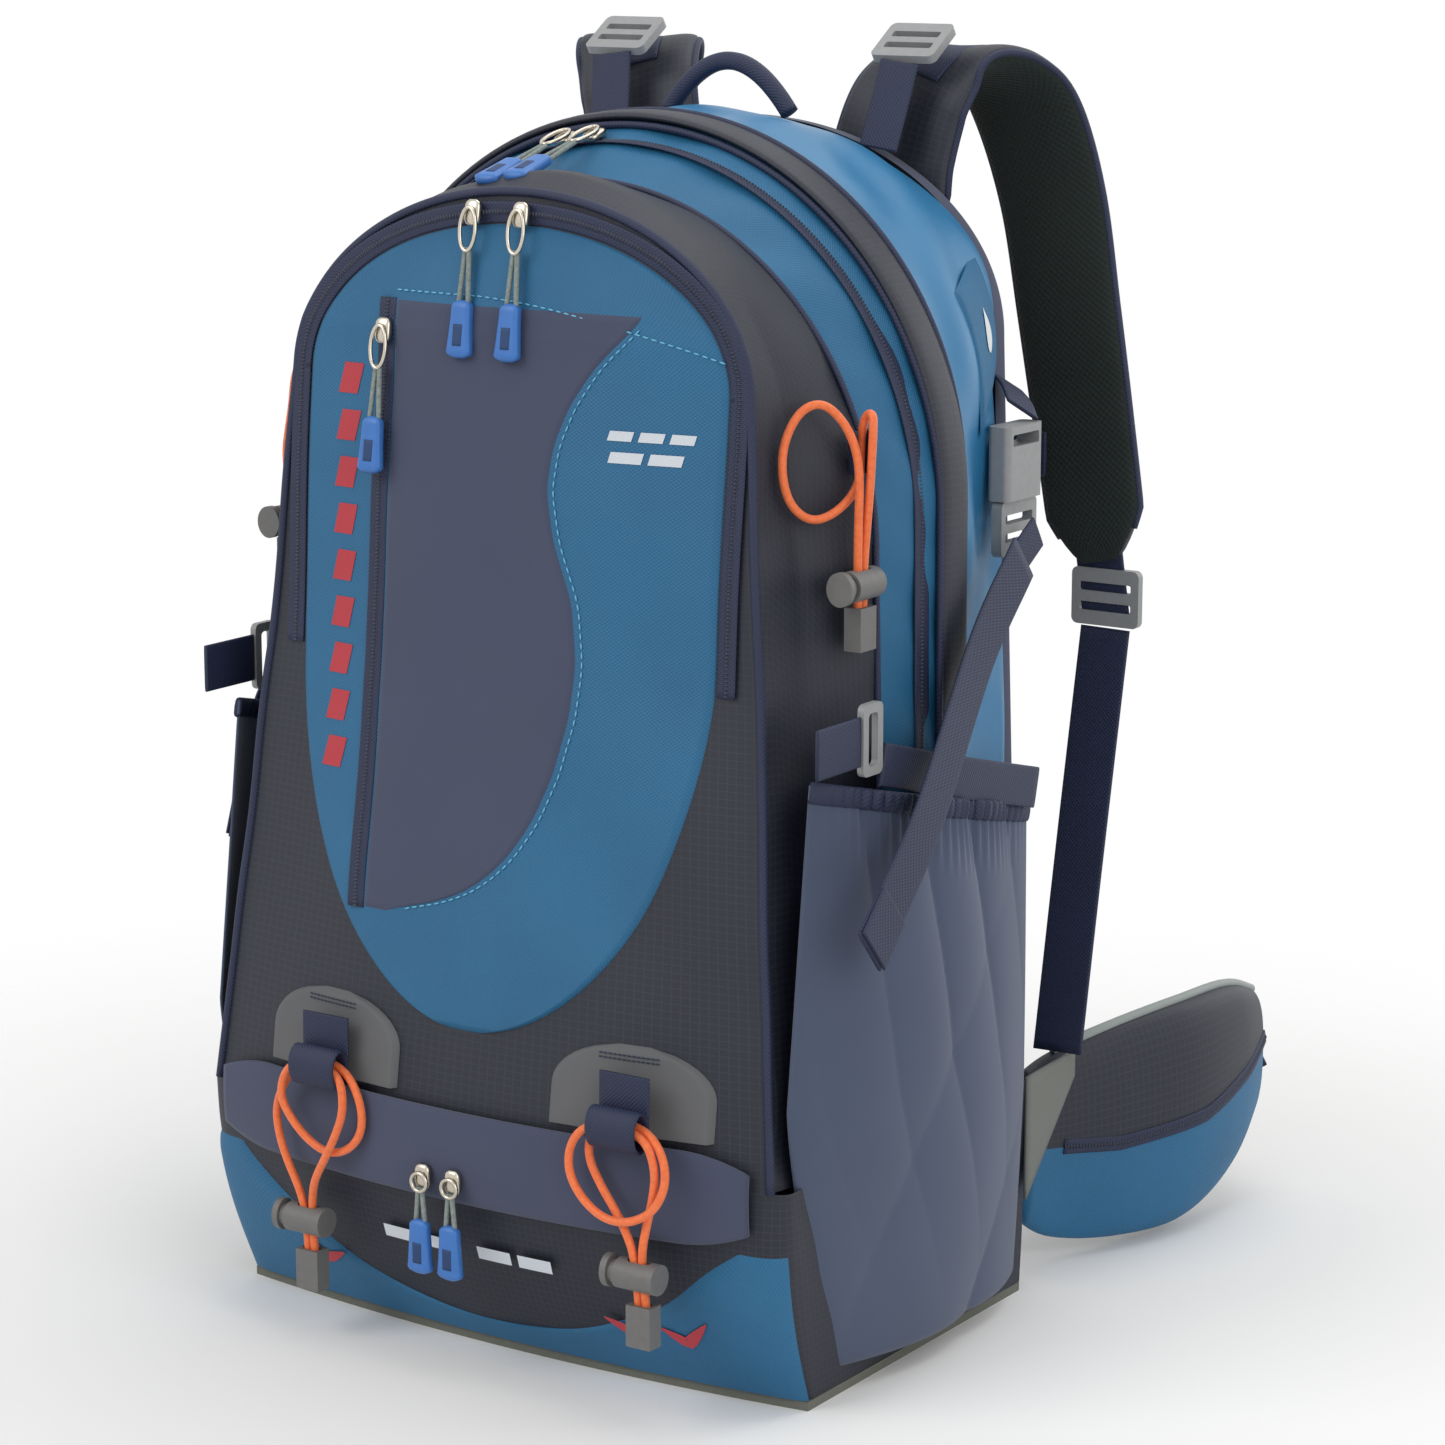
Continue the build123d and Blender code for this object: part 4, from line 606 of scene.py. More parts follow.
seam_z = np.linspace(196, 446, 200)
waist_seam = on_front(shell_right(seam_z) + 2.6, seam_z, 2.2)
top_x = np.linspace(shell_left, 107, 90)
top_z = 455.5 - 21 * np.clip((top_x + 20) / 127, 0, 1) ** 1.6
top_seam = on_front(top_x, top_z, 2.2)
top_stitching = piece_from("top_stitching", stitches(waist_seam, (0, -1, 0)) + stitches(top_seam,
    (0, -1, 0)), [stitch_thread])
fitted(top_stitching, "bag", "oxford")

# Plain printed and embroidered marks: slanted red dashes down the left of the face, and short
# bars of white thread on its right and low on the bottom compartment. They spell nothing.
red_print = woven("printed_red_ink", "#c23b46", "#b2323d", 0.9, 0.6, 0.03)
white_thread = woven("white_embroidery_thread", "#e9edf2", "#c9d0da", 0.9, 0.5, 0.1)


def mark(left, right, low, high, slant, lift, number):
    """A slanted bar lying on the front: a grid between two heights that leans by the slant."""
    height, share = np.meshgrid(np.linspace(low, high, 5), np.linspace(0, 1, 6), indexing="ij")
    across = left + (right - left) * share + slant * (height - low) / (high - low)
    return (np.stack([across, front_depth(across, height) - lift, height], axis=-1), "", number)


marks = [mark(-90, -79, low, low + 13, 3.0, 2.05, 0) for low in range(250, 430, 20)]
marks += [mark(left, left + 11, 401, 405, 1.2, 2.1, 1) for left in (55, 69, 83)]
marks += [mark(left, left + 15, 392, 396.5, 1.2, 2.1, 1) for left in (56, 74)]
marking = piece_from("plain_marks", marks, [red_print, white_thread])
fitted(marking, "bag", "oxford")

# ---- bottom compartment ------------------------------------------------------------------------
# A wide, low compartment with a rounded front: ripstop above, a blue oxford rim sewn up from
# the base in a smile, and a softshell band over the zip along its top.


def bottom_points(share, height, grow=0.0):
    """Wall of the bottom compartment: up one side, round the front and back along the other.
    The outline's corners are rounded by a power curve, and the wall bows out at mid height."""
    share, height = np.broadcast_arrays(np.asarray(share, float), np.asarray(height, float))
    rise = np.clip((height - 4) / 96, 0, 1)
    half = 150 + 4 * rise + grow
    middle, side = -105 - 31 * rise - grow, -94 - 23 * rise - grow
    bow = 8.0 * np.sin(math.pi * rise)
    turn = np.clip((share - 0.25) / 0.5, 0, 1) * 2 - 1
    across = half * np.sin(turn * math.pi / 2)
    corner = np.abs(turn) ** 12
    front = middle + (side - middle) * (across / half) ** 2 - bow * (1 - corner) + 6 * corner
    back_run = np.clip(np.abs(2 * share - 1) * 2 - 1, 0, 1)
    depth = front + (82 - front) * back_run
    return np.stack([across, depth, height], axis=-1)


wall_shares = np.linspace(0, 1, 261)[None]
wall_heights = np.linspace(4.3, 101, 34)[:, None]
bottom_wall = piece_from("bottom_wall", [(creased(bottom_points(wall_shares, wall_heights), 0.6, 55,
    12), "", 0)], [dark_ripstop])
fitted(bottom_wall, "bag", "ripstop", "bottom_compartment")

rim_shares = np.linspace(0.27, 0.73, 161)[None]
rim_up = np.linspace(0, 1, 22)[:, None]
rim_x = bottom_points(rim_shares, 20.0)[..., 0]
rim_top = 15 + 58 * np.abs(rim_x / 128) ** 2.2
rim_height = 4.6 + (np.clip(rim_top, 5, 76) - 4.6) * rim_up
rim_lift = -0.4 + 1.8 * np.sqrt(np.clip((1 - rim_up) * 8, 0, 1))
blue_rim = piece_from("blue_rim", [(bottom_points(rim_shares, rim_height, rim_lift), "", 0)], [oxford_cloth])
fitted(blue_rim, "bag", "oxford")

band_heights = np.linspace(76, 116, 16)
band_across = np.linspace(-140, 140, 121)
band_z, band_x = np.meshgrid(band_heights, band_across, indexing="ij")
band_z = 96 + (band_z - 96) * (1 - 0.35 * np.clip((np.abs(band_x) - 108) / 32, 0, 1) ** 2)
band_bulge = 3.0 + 1.6 * np.sin((band_z - 76) / 40 * math.pi)
band_y = -137 + 19 * (band_x / 150) ** 2 - band_bulge
band = piece_from("zip_cover", [(np.stack([band_x, band_y, band_z], -1), "", 0)], [softshell_cloth])
band_wall = band.modifiers.new("cloth_thickness", "SOLIDIFY")
band_wall.thickness = 0.0018
fitted(band, "bag", "softshell", "zip_cover_band")

# Four plain bars of white thread on the ripstop, and red chevrons on the rim: two on the right
# and one on the left. The wall is about 560 mm along, which turns a share into millimetres.
wall_length = 560.0


def low_mark(line, gauge, number, taper):
    """A flat mark on the bottom wall: a line of (share, height) points given a width, which
    falls off to its ends by a sine where it tapers."""
    line = np.asarray(line, float)
    run = np.gradient(line * np.array([wall_length, 1.0]), axis=0)
    run /= np.linalg.norm(run, axis=1, keepdims=True)
    aside = np.stack([-run[:, 1], run[:, 0]], -1)
    fall = np.sin(np.linspace(0.12, math.pi - 0.12, len(line))) if taper else np.ones(len(line))
    width = gauge * fall[:, None]
    shares, heights = [], []
    for step in np.linspace(-0.5, 0.5, 5):
        moved = line + aside * width * step / np.array([wall_length, 1.0])
        shares.append(moved[:, 0])
        heights.append(moved[:, 1])
    return (bottom_points(np.stack(shares, 1), np.stack(heights, 1), 2.1), "", number)


low_marks = []
for start in (0.452, 0.474, 0.506, 0.528):
    spots = np.linspace(0, 1, 12)
    low_marks.append(low_mark(np.column_stack([start + 0.018 * spots, np.full(12, 52.0)]), 6.0, 1, False))
for middle, lean in ((0.585, 1), (0.618, 1), (0.40, -1)):
    spots = np.linspace(-1, 1, 17)
    low_marks.append(low_mark(np.column_stack([middle + 0.016 * spots * lean,
        26 + 9 * np.abs(spots) + 3 * spots]), 5.0, 0, True))
low_marking = piece_from("plain_low_marks", low_marks, [red_print, white_thread])
fitted(low_marking, "bag", "oxford")

# ---- side pockets ------------------------------------------------------------------------------
# Stretch softshell pockets, full at the middle, gathered into a bound elastic hem that slants
# down to the rear. The gathers run out into long soft folds.
stretch_cloth = woven("stretch_softshell", "#4d5871", "#414b62", 0.7, 0.82, 0.03, sheen=0.15)
for side, side_name in ((1, "right"), (-1, "left")):
    along, up = np.meshgrid(np.linspace(0, 1, 160), np.linspace(0, 1, 80), indexing="xy")
    pocket_z = 12 + (256 - 42 * along) * up
    front_edge = np.interp(pocket_z, front_heights,
        front_sides) + 1.0 + 44 * np.clip((135 - pocket_z) / 123, 0, 1) ** 1.2
    pocket_y = front_edge + (80 - front_edge) * along
    wall_x = np.where(pocket_z > 101, 154 - (pocket_z - 101) * 0.004,
        150 + 4 * np.clip((pocket_z - 4) / 97, 0, 1))
    fullness = 21 * np.sin(math.pi * along) ** 0.75 * (
        0.55 + 0.45 * np.sin(math.pi * np.clip(up * 0.85 + 0.1, 0, 1)))
    folds = 5.5 * up ** 1.3 * (np.abs(np.sin(math.pi * (4.5 * along + 1.3 * up))) ** 0.6 - 1)
    folds += 4.5 * (1 - up) * (np.abs(np.sin(math.pi * (1.7 * along - 1.6 * up))) ** 0.7 - 1)
    gathers = 1.3 * np.clip((up - 0.86) / 0.14, 0, 1) * np.sin(2 * math.pi * 30 * along)
    pocket_x = (wall_x - 2.5 + fullness + 2.5 * np.sin(math.pi * along)
                + (folds + gathers) * np.sin(math.pi * along))
    pocket_grid = np.stack([side * pocket_x, pocket_y, pocket_z], -1)
    hem_line = pocket_grid[-1] - np.array([0, 0, 3.0])
    hem_part = swept(hem_line, rounded(9, 3.4, 3.0, 12), (side, 0, 0))
    pocket = piece_from("stretch_pocket_" + side_name, [(pocket_grid, "", 0), (hem_part, "we", 1)],
        [stretch_cloth, navy_webbing])
    thick = pocket.modifiers.new("cloth_thickness", "SOLIDIFY")
    thick.thickness = 0.0012
    fitted(pocket, "bag", "softshell", "side_pocket_" + side_name)

# ---- back panel and pads -----------------------------------------------------------------------
# A foam panel under navy cloth closes the back. Two columns and a lumbar pad of spacer mesh
# stand off it against the wearer.
mesh_fabric = woven("black_spacer_mesh", "#1c2825", "#0c1413", 3.2, 0.9, 0.5)
fade_in = np.linspace(0, 1, 12)[:, None]
back_edge = np.concatenate([arch_points(82.3 + 10 * fade_in, around[None], -0.8 * fade_in ** 3)], axis=0)
back_half = arch_points(np.full(111, 92.3), np.linspace(0, 0.5, 111), -0.8)
back_x = -back_half[:, :1] * sweep_across
back_z = np.broadcast_to(back_half[:, 2:], back_x.shape)
back_face = np.stack([back_x, np.full_like(back_x, 92.3), back_z], axis=-1)
foot_x, foot_z = np.meshgrid(np.linspace(-142, 142, 60), np.linspace(4.5, 101, 20))
foot_face = np.stack([foot_x, np.full_like(foot_x, 92.3), foot_z], axis=-1)
foot_sides = []
for side in (1, -1):
    deep, tall = np.meshgrid(np.linspace(82.3, 92.3, 4), np.linspace(4.5, 101, 20))
    foot_sides.append((np.stack([np.full_like(deep, side * 142.0), deep, tall], -1), "", 0))
back = piece_from("back_cover", [(back_edge, "", 0), (back_face, "", 0),
    (foot_face, "", 0)] + foot_sides, [softshell_cloth])
fitted(back, "bag", "nylon", "back_panel")


def cushion(centre_x, centre_z, width, height, rear, thickness, power=5.0):
    """A padded block on the back: a power-curve outline whose face domes to its thickness."""
    turn = np.linspace(0, 2 * math.pi, 96, endpoint=False)[None]
    ring = np.linspace(1, 0.02, 18)[:, None]
    across = centre_x + width / 2 * ring * np.sign(np.cos(turn)) * np.abs(np.cos(turn)) ** (2 / power)
    height = centre_z + height / 2 * ring * np.sign(np.sin(turn)) * np.abs(np.sin(turn)) ** (2 / power)
    depth = rear + thickness * (1 - ring ** 6) + 0 * turn
    return (np.stack([across, depth, height], -1), "we", 0)


cushions = [cushion(-55, 287.5, 70, 305, 92.6, 8), cushion(55, 287.5, 70, 305, 92.6, 8),
    cushion(0, 77, 190, 100, 92.6, 8)]
back_mesh = piece_from("back_mesh_pads", cushions, [mesh_fabric])
fitted(back_mesh, "bag", "mesh", "back_pads")

# ---- shoulder harness --------------------------------------------------------------------------
# Each pad is foam between ripstop outside and black spacer mesh inside, with its edges bound in
# tape. It rises off the back, turns over the shoulder and narrows to its foot.


def smooth_path(points, count):
    """A curve through points: between each two, the cubic that also follows their neighbours."""
    given = np.asarray(points, float)
    held = np.concatenate([2 * given[:1] - given[1:2], given, 2 * given[-1:] - given[-2:-1]])
    spot = np.linspace(0, len(given) - 1 - 1e-9, count)
    low = spot.astype(int)
    part = (spot - low)[:, None]
    a, b, c, d = held[low], held[low + 1], held[low + 2], held[low + 3]
    return 0.5 * (2 * b + (c - a) * part + (2 * a - 5 * b + 4 * c - d) * part ** 2
                  + (3 * b - a - 3 * c + d) * part ** 3)


pad_line = [
    (64, 98.9, 480, 62), (67, 99.9, 506, 60.2), (74, 105.9, 532, 58.4), (84, 120.9, 546, 56.7), (97,
        138.9, 540, 54.9),
    (106, 150.9, 522, 53.1), (116, 156.9, 484, 51.3), (124, 158.9, 434, 49.6), (135, 155.9, 380,
        47.8), (147, 150.9, 324, 46),
]


def face_centres(piece):
    """Middle of each of a piece's faces, in millimetres."""
    centres = np.empty(len(piece.data.polygons) * 3)
    piece.data.polygons.foreach_get("center", centres)
    return centres.reshape(-1, 3) * 1000


pad_thickness = 12.0
for side, side_name in ((1, "right"), (-1, "left")):
    stations = smooth_path(pad_line, 120)
    path = stations[:, :3] * np.array([side, 1, 1])
    run = np.gradient(path, axis=0)
    run /= np.linalg.norm(run, axis=1, keepdims=True)
    outer = np.cross(run, np.array([1.0, 0, 0]))
    taper = np.sqrt(np.clip(np.minimum(np.arange(120), np.arange(120)[::-1]) / 6 + 0.15, 0, 1))
    pad_size = np.stack([stations[:, 3] * taper, np.full(120, pad_thickness) * taper], -1)
    section = rounded(1, 1, 3.2, 40)[None] * pad_size[:, None]
    dents = 1 - 0.22 * np.exp(-((stations[:, 2] - 400) / 9) ** 2) - 0.22 * np.exp(-((stations[:,
        2] - 372) / 9) ** 2)
    section[..., 1] *= dents[:, None]
    pad_grid = swept(path, section, outer)
    pad = piece_from("pad_" + side_name, [(pad_grid, "we", 0)], [dark_ripstop, mesh_fabric])
    numbers = np.zeros(len(pad.data.polygons), np.int32)
    centres = face_centres(pad)
    nearest = np.argmin(np.linalg.norm(centres[:, None] - path[None], axis=2), axis=1)
    numbers[np.sum((centres - path[nearest]) * outer[nearest], axis=1) > 1.5] = 1
    pad.data.polygons.foreach_set("material_index", numbers)
    fitted(pad, "harness", "ripstop", "shoulder_pad_" + side_name)
    edges = []
    for column in (0, 20):
        edges.append((swept(pad_grid[3:-3, column], rounded(3.4, 3.4, 2.0, 10), outer[3:-3]), "we", 0))
    top_strip = path[30:78] - outer[30:78] * 7.0
    edges.append((swept(top_strip, rounded(25, 1.6, 6.0, 16), -outer[30:78]), "we", 0))
    foot_strip = np.array([path[-12], path[-5], (side * 149.0, 151.6, 306.0), (side * 150.0, 151.8, 298.0)])
    edges.append((swept(smooth_path(foot_strip, 24), rounded(24, 1.6, 6.0, 16), (0, 1, 0)), "we", 0))
    binding = piece_from("pad_binding_" + side_name, edges, [navy_webbing])
    fitted(binding, "harness", "webbing_navy")

# ---- webbing -----------------------------------------------------------------------------------
# Woven navy polyester webbing, 1.6 mm thick with soft edges, cut and sewn or threaded through
# the buckles and rings.


def tape(points, width, facing, thickness=1.6):
    """Flat webbing through points: a rounded strip carried along a smooth curve."""
    return (swept(smooth_path(points, 40), rounded(width, thickness, 6.0, 16), facing), "we", 0)


def stretched(name, node, strap):
    """A strap sewn to the bag at its start and to a moving part at its end. Here it is one fixed mesh that
    stands for a CAD node, which it hides; it rides on no body.
    """
    piece = piece_from(name, [strap], [navy_webbing])
    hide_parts(node)
    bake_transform(piece)


tail_lines = {
    "right": [(164.5, 50, 342), (168, 10, 308), (178, -50, 247), (182, -100, 204)],
    "left": [(-164.5, 50, 342), (-167, 0, 306), (-172, -48, 256), (-174, -66, 196)],
}
for side, side_name in ((1, "right"), (-1, "left")):
    flip = np.array([side, 1, 1])
    straps = [
        tape(np.array([(160.4, -106, 283), (160.4, -74, 283)]) * flip, 21, (side, 0, 0)),
        tape(tail_lines[side_name], 25, (side, 0, 0)),
        tape(np.array([(163, 50, 342), (163.3, 64, 351)]) * flip, 16, (side, 0, 0)),
        tape(np.array([(161, -58, 271), (164, 0, 255), (161, 70, 237)]) * flip, 18, (side, 0, 0)),
    ]
    tail = np.array(tail_lines[side_name], float)
    tail_run = (tail[-1] - tail[-2]) / np.linalg.norm(tail[-1] - tail[-2])
    straps.append(tape([tail[-1] - 24 * tail_run + (side * 1.7, 0, 0),
        tail[-1] - tail_run + (side * 1.7, 0, 0)], 25.4, (side, 0, 0)))
    compression = piece_from("compression_webbing_" + side_name, straps, [navy_webbing])
    fitted(compression, "bag", "webbing_navy", "compression_straps")

    loop_points = np.array([(150.5, 72, 401.6), (142, 81, 407), (133.6, 88, 410.3)]) * flip
    stretched("buckle_webbing_" + side_name, "buckle_loop_" + side_name,
        tape(loop_points, 18, (side, 0, 0.8)))

    lifter_points = np.array([(72, 79, 509.5), (74.5, 84, 528), (77, 88.5, 546.6)]) * flip
    stretched("lifter_webbing_" + side_name, "load_lifters", tape(lifter_points, 20, (0, -1, 0.6)))

    lower_points = np.array([(150, 151.1, 294), (148, 133.9, 190), (150.3, 113, 104.6)]) * flip
    stretched("lower_webbing_strip_" + side_name, "lower_webbing_" + side_name,
        tape(lower_points, 25, (0, 1, 0)))

    hip = piece_from("hip_webbing_" + side_name,
        [tape(np.array([(166, 282.3, 70), (147, 284, 58), (128, 286.1, 46)]) * flip, 25, (0, 1, 0))],
        [navy_webbing])
    fitted(hip, "wing_" + side_name, "webbing_navy", "hip_strap_" + side_name)

sternum = piece_from("sternum_webbing", [tape([(-120, 147.3, 371), (40, 147.3, 371)], 20, (0, 1, 0)),
    tape([(84, 147.3, 371), (120, 147.3, 371)], 20, (0, 1, 0))], [navy_webbing])
fitted(sternum, "harness", "webbing_navy", "sternum_strap")

haul_turn = np.linspace(-1, 1, 60)
haul_line = np.column_stack([32 * haul_turn, np.full(60, 70.0), 523.9 + 22 * (1 - haul_turn ** 2)])
haul = piece_from("haul_handle", [(swept(haul_line, rounded(8, 7.4, 2.4, 18), (0, 1, 0)), "we", 0)],
    [navy_webbing])
fitted(haul, "haul", "webbing_navy", "haul_loop")

# Webbing loops for the cords, and grey rubberised patches behind the two on the front, each
# held by two rows of dark stitches above its webbing.
loops = []
for loop_x in (-69.0, 88.5):
    turn = np.linspace(0, 2 * math.pi, 40, endpoint=False)
    ring = np.column_stack([np.full(40, loop_x), -143.9 + 5.2 * np.cos(turn), 125 + 8.2 * np.sin(turn)])
    ring = np.concatenate([ring, ring[:1]])
    radial = ring - np.array([loop_x, -143.9, 125.0])
    loops.append((swept(ring, rounded(25, 1.6, 6.0, 12), radial), "w", 0))
    loops.append(tape([(loop_x, -138.8, 124), (loop_x, -138.2, 147)], 25, (0, -1, 0)))
for side in (1, -1):
    centre = np.array([side * (140.4 + 0.742 * 5), -45 - 0.67 * 5, 397.0])
    for step in (-3.4, 3.4):
        shift = np.array([side * 0.67, 0.742, 0]) * step
        loops.append(tape([centre + shift + (0, 0, -9), centre + shift + (0, 0, 9)], 9,
            (side * 0.67, 0.742, 0)))
cord_loops = piece_from("cord_webbing_loops", loops, [navy_webbing])
fitted(cord_loops, "bag", "webbing_navy", "webbing_loops")

patch_rubber = woven("grey_rubberised_cloth", "#6b6c6e", "#595a5c", 0.8, 0.75, 0.03)
patch_parts = []
for patch_x in (-72.0, 84.0):
    share, up = np.meshgrid(np.linspace(-1, 1, 41), np.linspace(0, 1, 18))
    half = 38 * np.sqrt(np.clip(1 - (np.clip(up - 0.45, 0, 1) / 0.56) ** 2, 0, 1))
    across = patch_x + half * share
    edge = np.clip(np.minimum(half * (1 - np.abs(share)), 36 * np.minimum(up + 0.05, 1 - up)) / 2, 0, 1)
    height = 119 + 36 * up
    depth = front_depth(across, height) - 0.2 - 3.0 * np.sqrt(edge)
    patch_parts.append((np.stack([across, depth, height], -1), "", 0))
for patch_x in (-72.0, 84.0):
    for tack_z in (149.6, 151.4):
        tack = on_front(np.linspace(patch_x - 15, patch_x + 15, 12), np.full(12, tack_z), 3.5)
        patch_parts += [(grid, how, 1) for grid, how, _ in stitches(tack, (0, -1, 0), 2.2, 1.7, 0.7)]
patches = piece_from("lash_patch_cloth", patch_parts, [patch_rubber, navy_webbing])
fitted(patches, "bag", "patch", "lash_patches")

base_rubber = woven("grey_base_cloth", "#7b7e79", "#686b66", 1.2, 0.7, 0.08)
tab_parts = []
for side in (1, -1):
    rise, out = np.meshgrid(np.linspace(0, 1, 10), np.linspace(0, 1, 12), indexing="ij")
    tab_y = 78.3 + 44 * out * 0.98
    tab_z = 45 + 47 * out + (57 - 45 * out) * rise
    tab_parts.append((np.stack([np.full_like(tab_y, side * 155.1), tab_y, tab_z], -1), "", 0))
tabs = piece_from("base_tab_cloth", tab_parts, [base_rubber])
tab_wall = tabs.modifiers.new("cloth_thickness", "SOLIDIFY")
tab_wall.thickness = 0.0016
fitted(tabs, "bag", "base", "base_tabs")

# ---- hip belt ----------------------------------------------------------------------------------
# Each wing is a padded pocket of ripstop over a full blue oxford lower half, with a light grey
# piping along its top and a curved zip between the two cloths.
grey_piping = woven("light_grey_piping", "#a3aaa8", "#8b9290", 0.9, 0.6, 0.03)
wing_line = [
    (135.0, 102.1, 26.0, 92.0, 12.0), (141.0, 123.1, 12.0, 100.0, 14.0), (156.0, 155.1, 6.0, 108.0, 22.0),
    (168.0, 195.1, 6.0, 112.0, 28.0), (171.0, 239.1, 20.0, 110.0, 24.0), (167.0, 281.1, 46.0, 96.0, 14.0),
]
wing_zip_depths = [102, 150, 200, 240, 281]
wing_zip_heights = [58, 54, 58, 68, 80]
for side, side_name in ((1, "right"), (-1, "left")):
    stations = smooth_path(wing_line, 100)
    turn = np.linspace(0, 2 * math.pi, 56, endpoint=False)[None]
    ends = np.sqrt(np.clip(np.minimum(np.arange(100), np.arange(100)[::-1]) / 6 + 0.12, 0, 1))[:, None]
    mid = (stations[:, 2:3] + stations[:, 3:4]) / 2
    tall = (stations[:, 3:4] - stations[:, 2:3]) / 2 * ends
    thick = stations[:, 4:5] / 2 * ends
    wing_x = stations[:, :1] + thick * np.sign(np.cos(turn)) * np.abs(np.cos(turn)) ** 0.75
    wing_z = mid + tall * np.sign(np.sin(turn)) * np.abs(np.sin(turn)) ** 0.75
    wing_y = np.broadcast_to(stations[:, 1:2], wing_x.shape)
    wing_grid = np.stack([side * wing_x, wing_y, wing_z], -1)
    wing = piece_from("wing_pad_" + side_name, [(wing_grid, "we", 0)],
        [dark_ripstop, oxford_cloth, mesh_fabric])
    centres = face_centres(wing)
    line_x = np.interp(centres[:, 1], stations[:, 1], stations[:, 0])
    zip_height = np.interp(centres[:, 1], wing_zip_depths, wing_zip_heights)
    numbers = np.where(centres[:, 2] < zip_height, 1, 0)
    numbers = np.where(side * centres[:, 0] < line_x - 1.5, 2, numbers)
    wing.data.polygons.foreach_set("material_index", numbers.astype(np.int32))
    fitted(wing, "wing_" + side_name, "ripstop", "hip_wing_" + side_name)
    trim_y = np.linspace(124, 272, 60)
    trim_x = np.interp(trim_y, stations[:, 1], stations[:, 0])
    trim_top = np.interp(trim_y, stations[:, 1], stations[:, 3]) + 0.5
    piping_path = np.column_stack([side * trim_x, trim_y, trim_top])
    zip_line = np.interp(trim_y, wing_zip_depths, wing_zip_heights)
    half_thick = np.interp(trim_y, stations[:, 1], stations[:, 4]) / 2
    zip_path = np.column_stack([side * (trim_x + half_thick + 0.1), trim_y, zip_line])
    wing_trim = zip_parts(zip_path, (side, 0, 0), 7.0, 2.8)
    wing_trim.append((swept(piping_path, rounded(4.5, 4.5, 2.0, 12), (0, 0, 1)), "we", 2))
    trim = piece_from("wing_trim_" + side_name, wing_trim, [navy_webbing, coil_nylon, grey_piping])
    fitted(trim, "wing_" + side_name, "coil")

# ---- zip sliders and their pulls ---------------------------------------------------------------
# Nickel-plated zinc sliders with an oval ring, a loop of grey flecked cord and a soft blue
# moulded grip with a window through its end, drawn as a dark blue insert of painted shade.


def plain_material(name, colour, other, roughness, metallic=0.0, scale=300.0, depth=0.03):
    """Moulded or cast surface: fine noise shifts its colour, and gives it a slight relief."""
    material, tree = blank_material(name)
    place = add_node(tree, "TexCoord", {}, {})
    grain = add_node(tree, "TexNoise", {}, {"Vector": place.outputs["Object"], "Scale": scale, "Detail": 3.0})
    tint = add_node(tree, "MixRGB", {}, {0: grain.outputs[0], 1: linear(colour), 2: linear(other)})
    relief = add_node(tree, "Bump", {}, {"Strength": 0.3, "Distance": depth / 1000,
        "Height": grain.outputs[0]})
    skin = add_node(tree, "BsdfPrincipled", {},
        {"Base Color": tint.outputs[0], "Roughness": roughness, "Metallic": metallic,
        "Normal": relief.outputs[0]})
    add_node(tree, "OutputMaterial", {}, {"Surface": skin.outputs[0]})
    return material


nickel = plain_material("nickel_plated_zinc", "#d2cabb", "#b9b1a3", 0.24, 1.0, 120.0, 0.01)
pull_cord = plain_material("flecked_grey_cord", "#59635f", "#a7b2ad", 0.8, 0.0, 700.0, 0.1)
blue_grip = plain_material("soft_blue_pvc", "#3f7bc8", "#356db6", 0.42)
# Painted shade: the grip's window is not cut through; this dark blue insert stands for the shade in the hole.
painted_window_shade = plain_material("grip_window", "#16355f", "#1d3f6c", 0.6)


def pull_parts(seat, out, down, ring_length, cord_length):
    """Slider, ring, two cord strands and grip, each a profile along a line in the pull's own
    directions: down along the pull, out from the cloth, and across."""
    seat, out, down = (np.asarray(row, float) for row in (seat, out, down))
    down /= np.linalg.norm(down)
    out = out - down * (out @ down)
    out /= np.linalg.norm(out)
    across = np.cross(down, out)

    def place(along, lift, aside):
        """A point by its distances along the pull, off the cloth and across."""
        along, lift, aside = np.broadcast_arrays(*(np.asarray(row, float) for row in (along, lift, aside)))
        return seat + along[:, None] * down + lift[:, None] * out + aside[:, None] * across

    body_run = np.linspace(-5.5, 5.5, 12)
    body_size = np.sqrt(np.clip(1 - (body_run / 5.9) ** 4, 0.05, 1))[:, None, None]
    parts = [(swept(place(body_run, 2.0, 0), rounded(8, 4, 3.0, 18)[None] * body_size, out), "we", 0)]
    turn = np.linspace(0, 2 * math.pi, 49)
    ring = place(ring_length / 2 - 2 + ring_length / 2 * np.cos(turn), 5.0, 4.0 * np.sin(turn))
    parts.append((swept(ring, rounded(1.8, 1.8, 2.0, 8), out), "w", 0))
    cord_run = np.linspace(ring_length - 3.5, ring_length + cord_length, 16)
    for hand in (-1, 1):
        strand = place(cord_run, 4.2, hand * np.linspace(0.9, 2.4, 16))
        parts.append((swept(strand, rounded(2.2, 2.2, 2.0, 8), out), "we", 1))
    grip_run = np.linspace(0, 24, 22)
    grip_width = 9.5 + 3.5 * (grip_run / 24) ** 1.5
    grip_end = np.sqrt(np.clip(np.minimum(grip_run, 24 - grip_run) / 2 + 0.15, 0, 1))
    grip_section = rounded(1, 1, 3.6, 20)[None] * np.stack([grip_width * grip_end, 5.0 * grip_end],
        -1)[:, None]
    grip_start = ring_length + cord_length - 1.6
    parts.append((swept(place(grip_start + grip_run, 4.6, 0), grip_section, out), "we", 2))
    # The window is a dark insert laid in the grip: painted shade where the hole would be.
    window_run = np.linspace(10, 19, 8)
    parts.append((swept(place(grip_start + window_run, 6.7, 0), rounded(5, 1.2, 4.0, 12), out), "we", 3))
    return parts


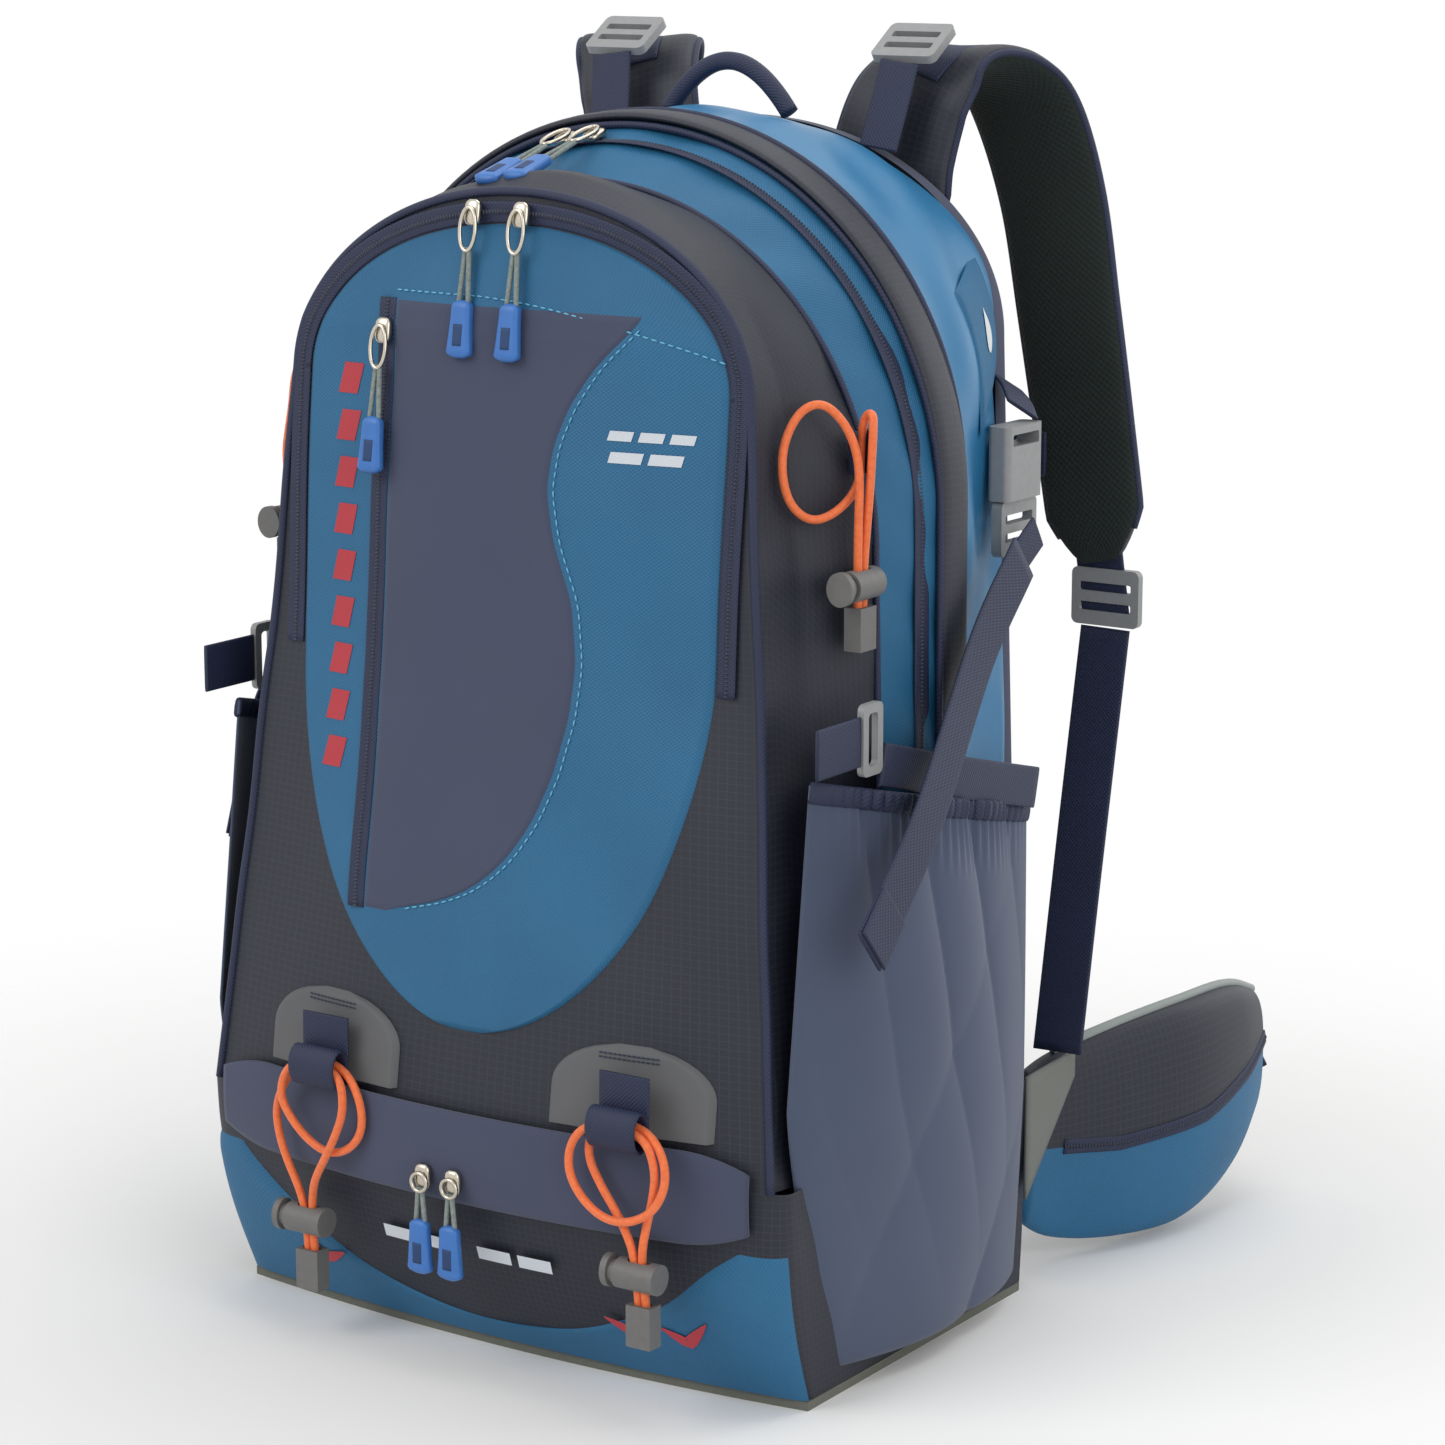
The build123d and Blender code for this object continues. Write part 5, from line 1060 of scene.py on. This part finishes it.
pulls = {}
for hand, across in (("left", -19.0), ("right", 6.0)):
    pulls["front_slider_" + hand] = ((across, float(front_depth(across, 489.0)) - 2.7, 489.0),
        (0, -1, 0.14), (0, -0.14, -1), 18.0, 20.0)
pulls["stash_slider"] = ((-62.65, float(front_depth(-62.65, 438.0)) - 2.7, 438.0), (0, -1, 0.14),
    (0, -0.14, -1), 18.0, 20.0)
for hand, across in (("left", -27.0), ("right", -12.0)):
    arch_radius, tape_lift, coil_lift, slider_lift = 148.5, 1.2, 0.6, 3.2
    seat_radius = arch_radius + tape_lift + coil_lift + slider_lift
    seat_height = float(np.interp(-14, body_depths, body_centres)) + math.sqrt(seat_radius ** 2 - across ** 2)
    pulls["main_slider_" + hand] = ((across, -15.0, seat_height), (0, -0.3, 1), (0, -1, -0.3), 18.0, 20.0)
for hand, across in (("left", -13.0), ("right", 3.0)):
    pulls["bottom_slider_" + hand] = ((across, -141.4, 86.0), (0, -1, 0), (0, 0, -1), 8.0, 12.0)
for node, facts in pulls.items():
    pull = piece_from(node + "_assembly", pull_parts(*facts), [nickel, pull_cord, blue_grip, painted_window_shade])
    fitted(pull, node + "_pull", "zinc", node)

# ---- moulded hardware --------------------------------------------------------------------------
# Buckles, rings, locks and cord ends are injection-moulded acetal, kept as the CAD made them.
# Acetal is smooth and waxy, with a fine grain from its mould.
grey_acetal = plain_material("moulded_grey_acetal", "#9c9d9e", "#8d8e8f", 0.45)
lock_acetal = plain_material("moulded_stone_acetal", "#747372", "#666564", 0.5)
orange_acetal = plain_material("moulded_orange_acetal", "#e8672c", "#d45a22", 0.45)
spring_steel = plain_material("spring_steel_wire", "#b9bbbd", "#a2a4a6", 0.3, 1.0, 120.0, 0.01)
base_cloth = plain_material("coated_olive_base", "#6f7168", "#5f6158", 0.7, 0.0, 400.0, 0.1)
sheet_plastic = plain_material("polyethylene_frame_sheet", "#c8cac6", "#babcb8", 0.5)
kept_nodes = {
    "side_rings": grey_acetal, "side_plugs": grey_acetal, "side_socket_left": grey_acetal,
    "side_socket_right": grey_acetal, "ladder_locks": grey_acetal, "hip_plug": grey_acetal,
    "hip_socket": grey_acetal, "cord_locks": lock_acetal, "cord_ends": lock_acetal,
    "cord_button_front_left": lock_acetal, "cord_button_front_right": lock_acetal,
    "cord_button_side_left": lock_acetal, "cord_button_side_right": lock_acetal,
    "sternum_buckle": orange_acetal, "lock_springs": spring_steel, "base_panel": base_cloth,
    "frame_sheet": sheet_plastic, "hydration_sleeve": sheet_plastic,
}
for node, material in kept_nodes.items():
    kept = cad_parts[node]
    if not kept.material_slots:
        kept.data.materials.append(material)
    for place_for in kept.material_slots:
        place_for.material = material
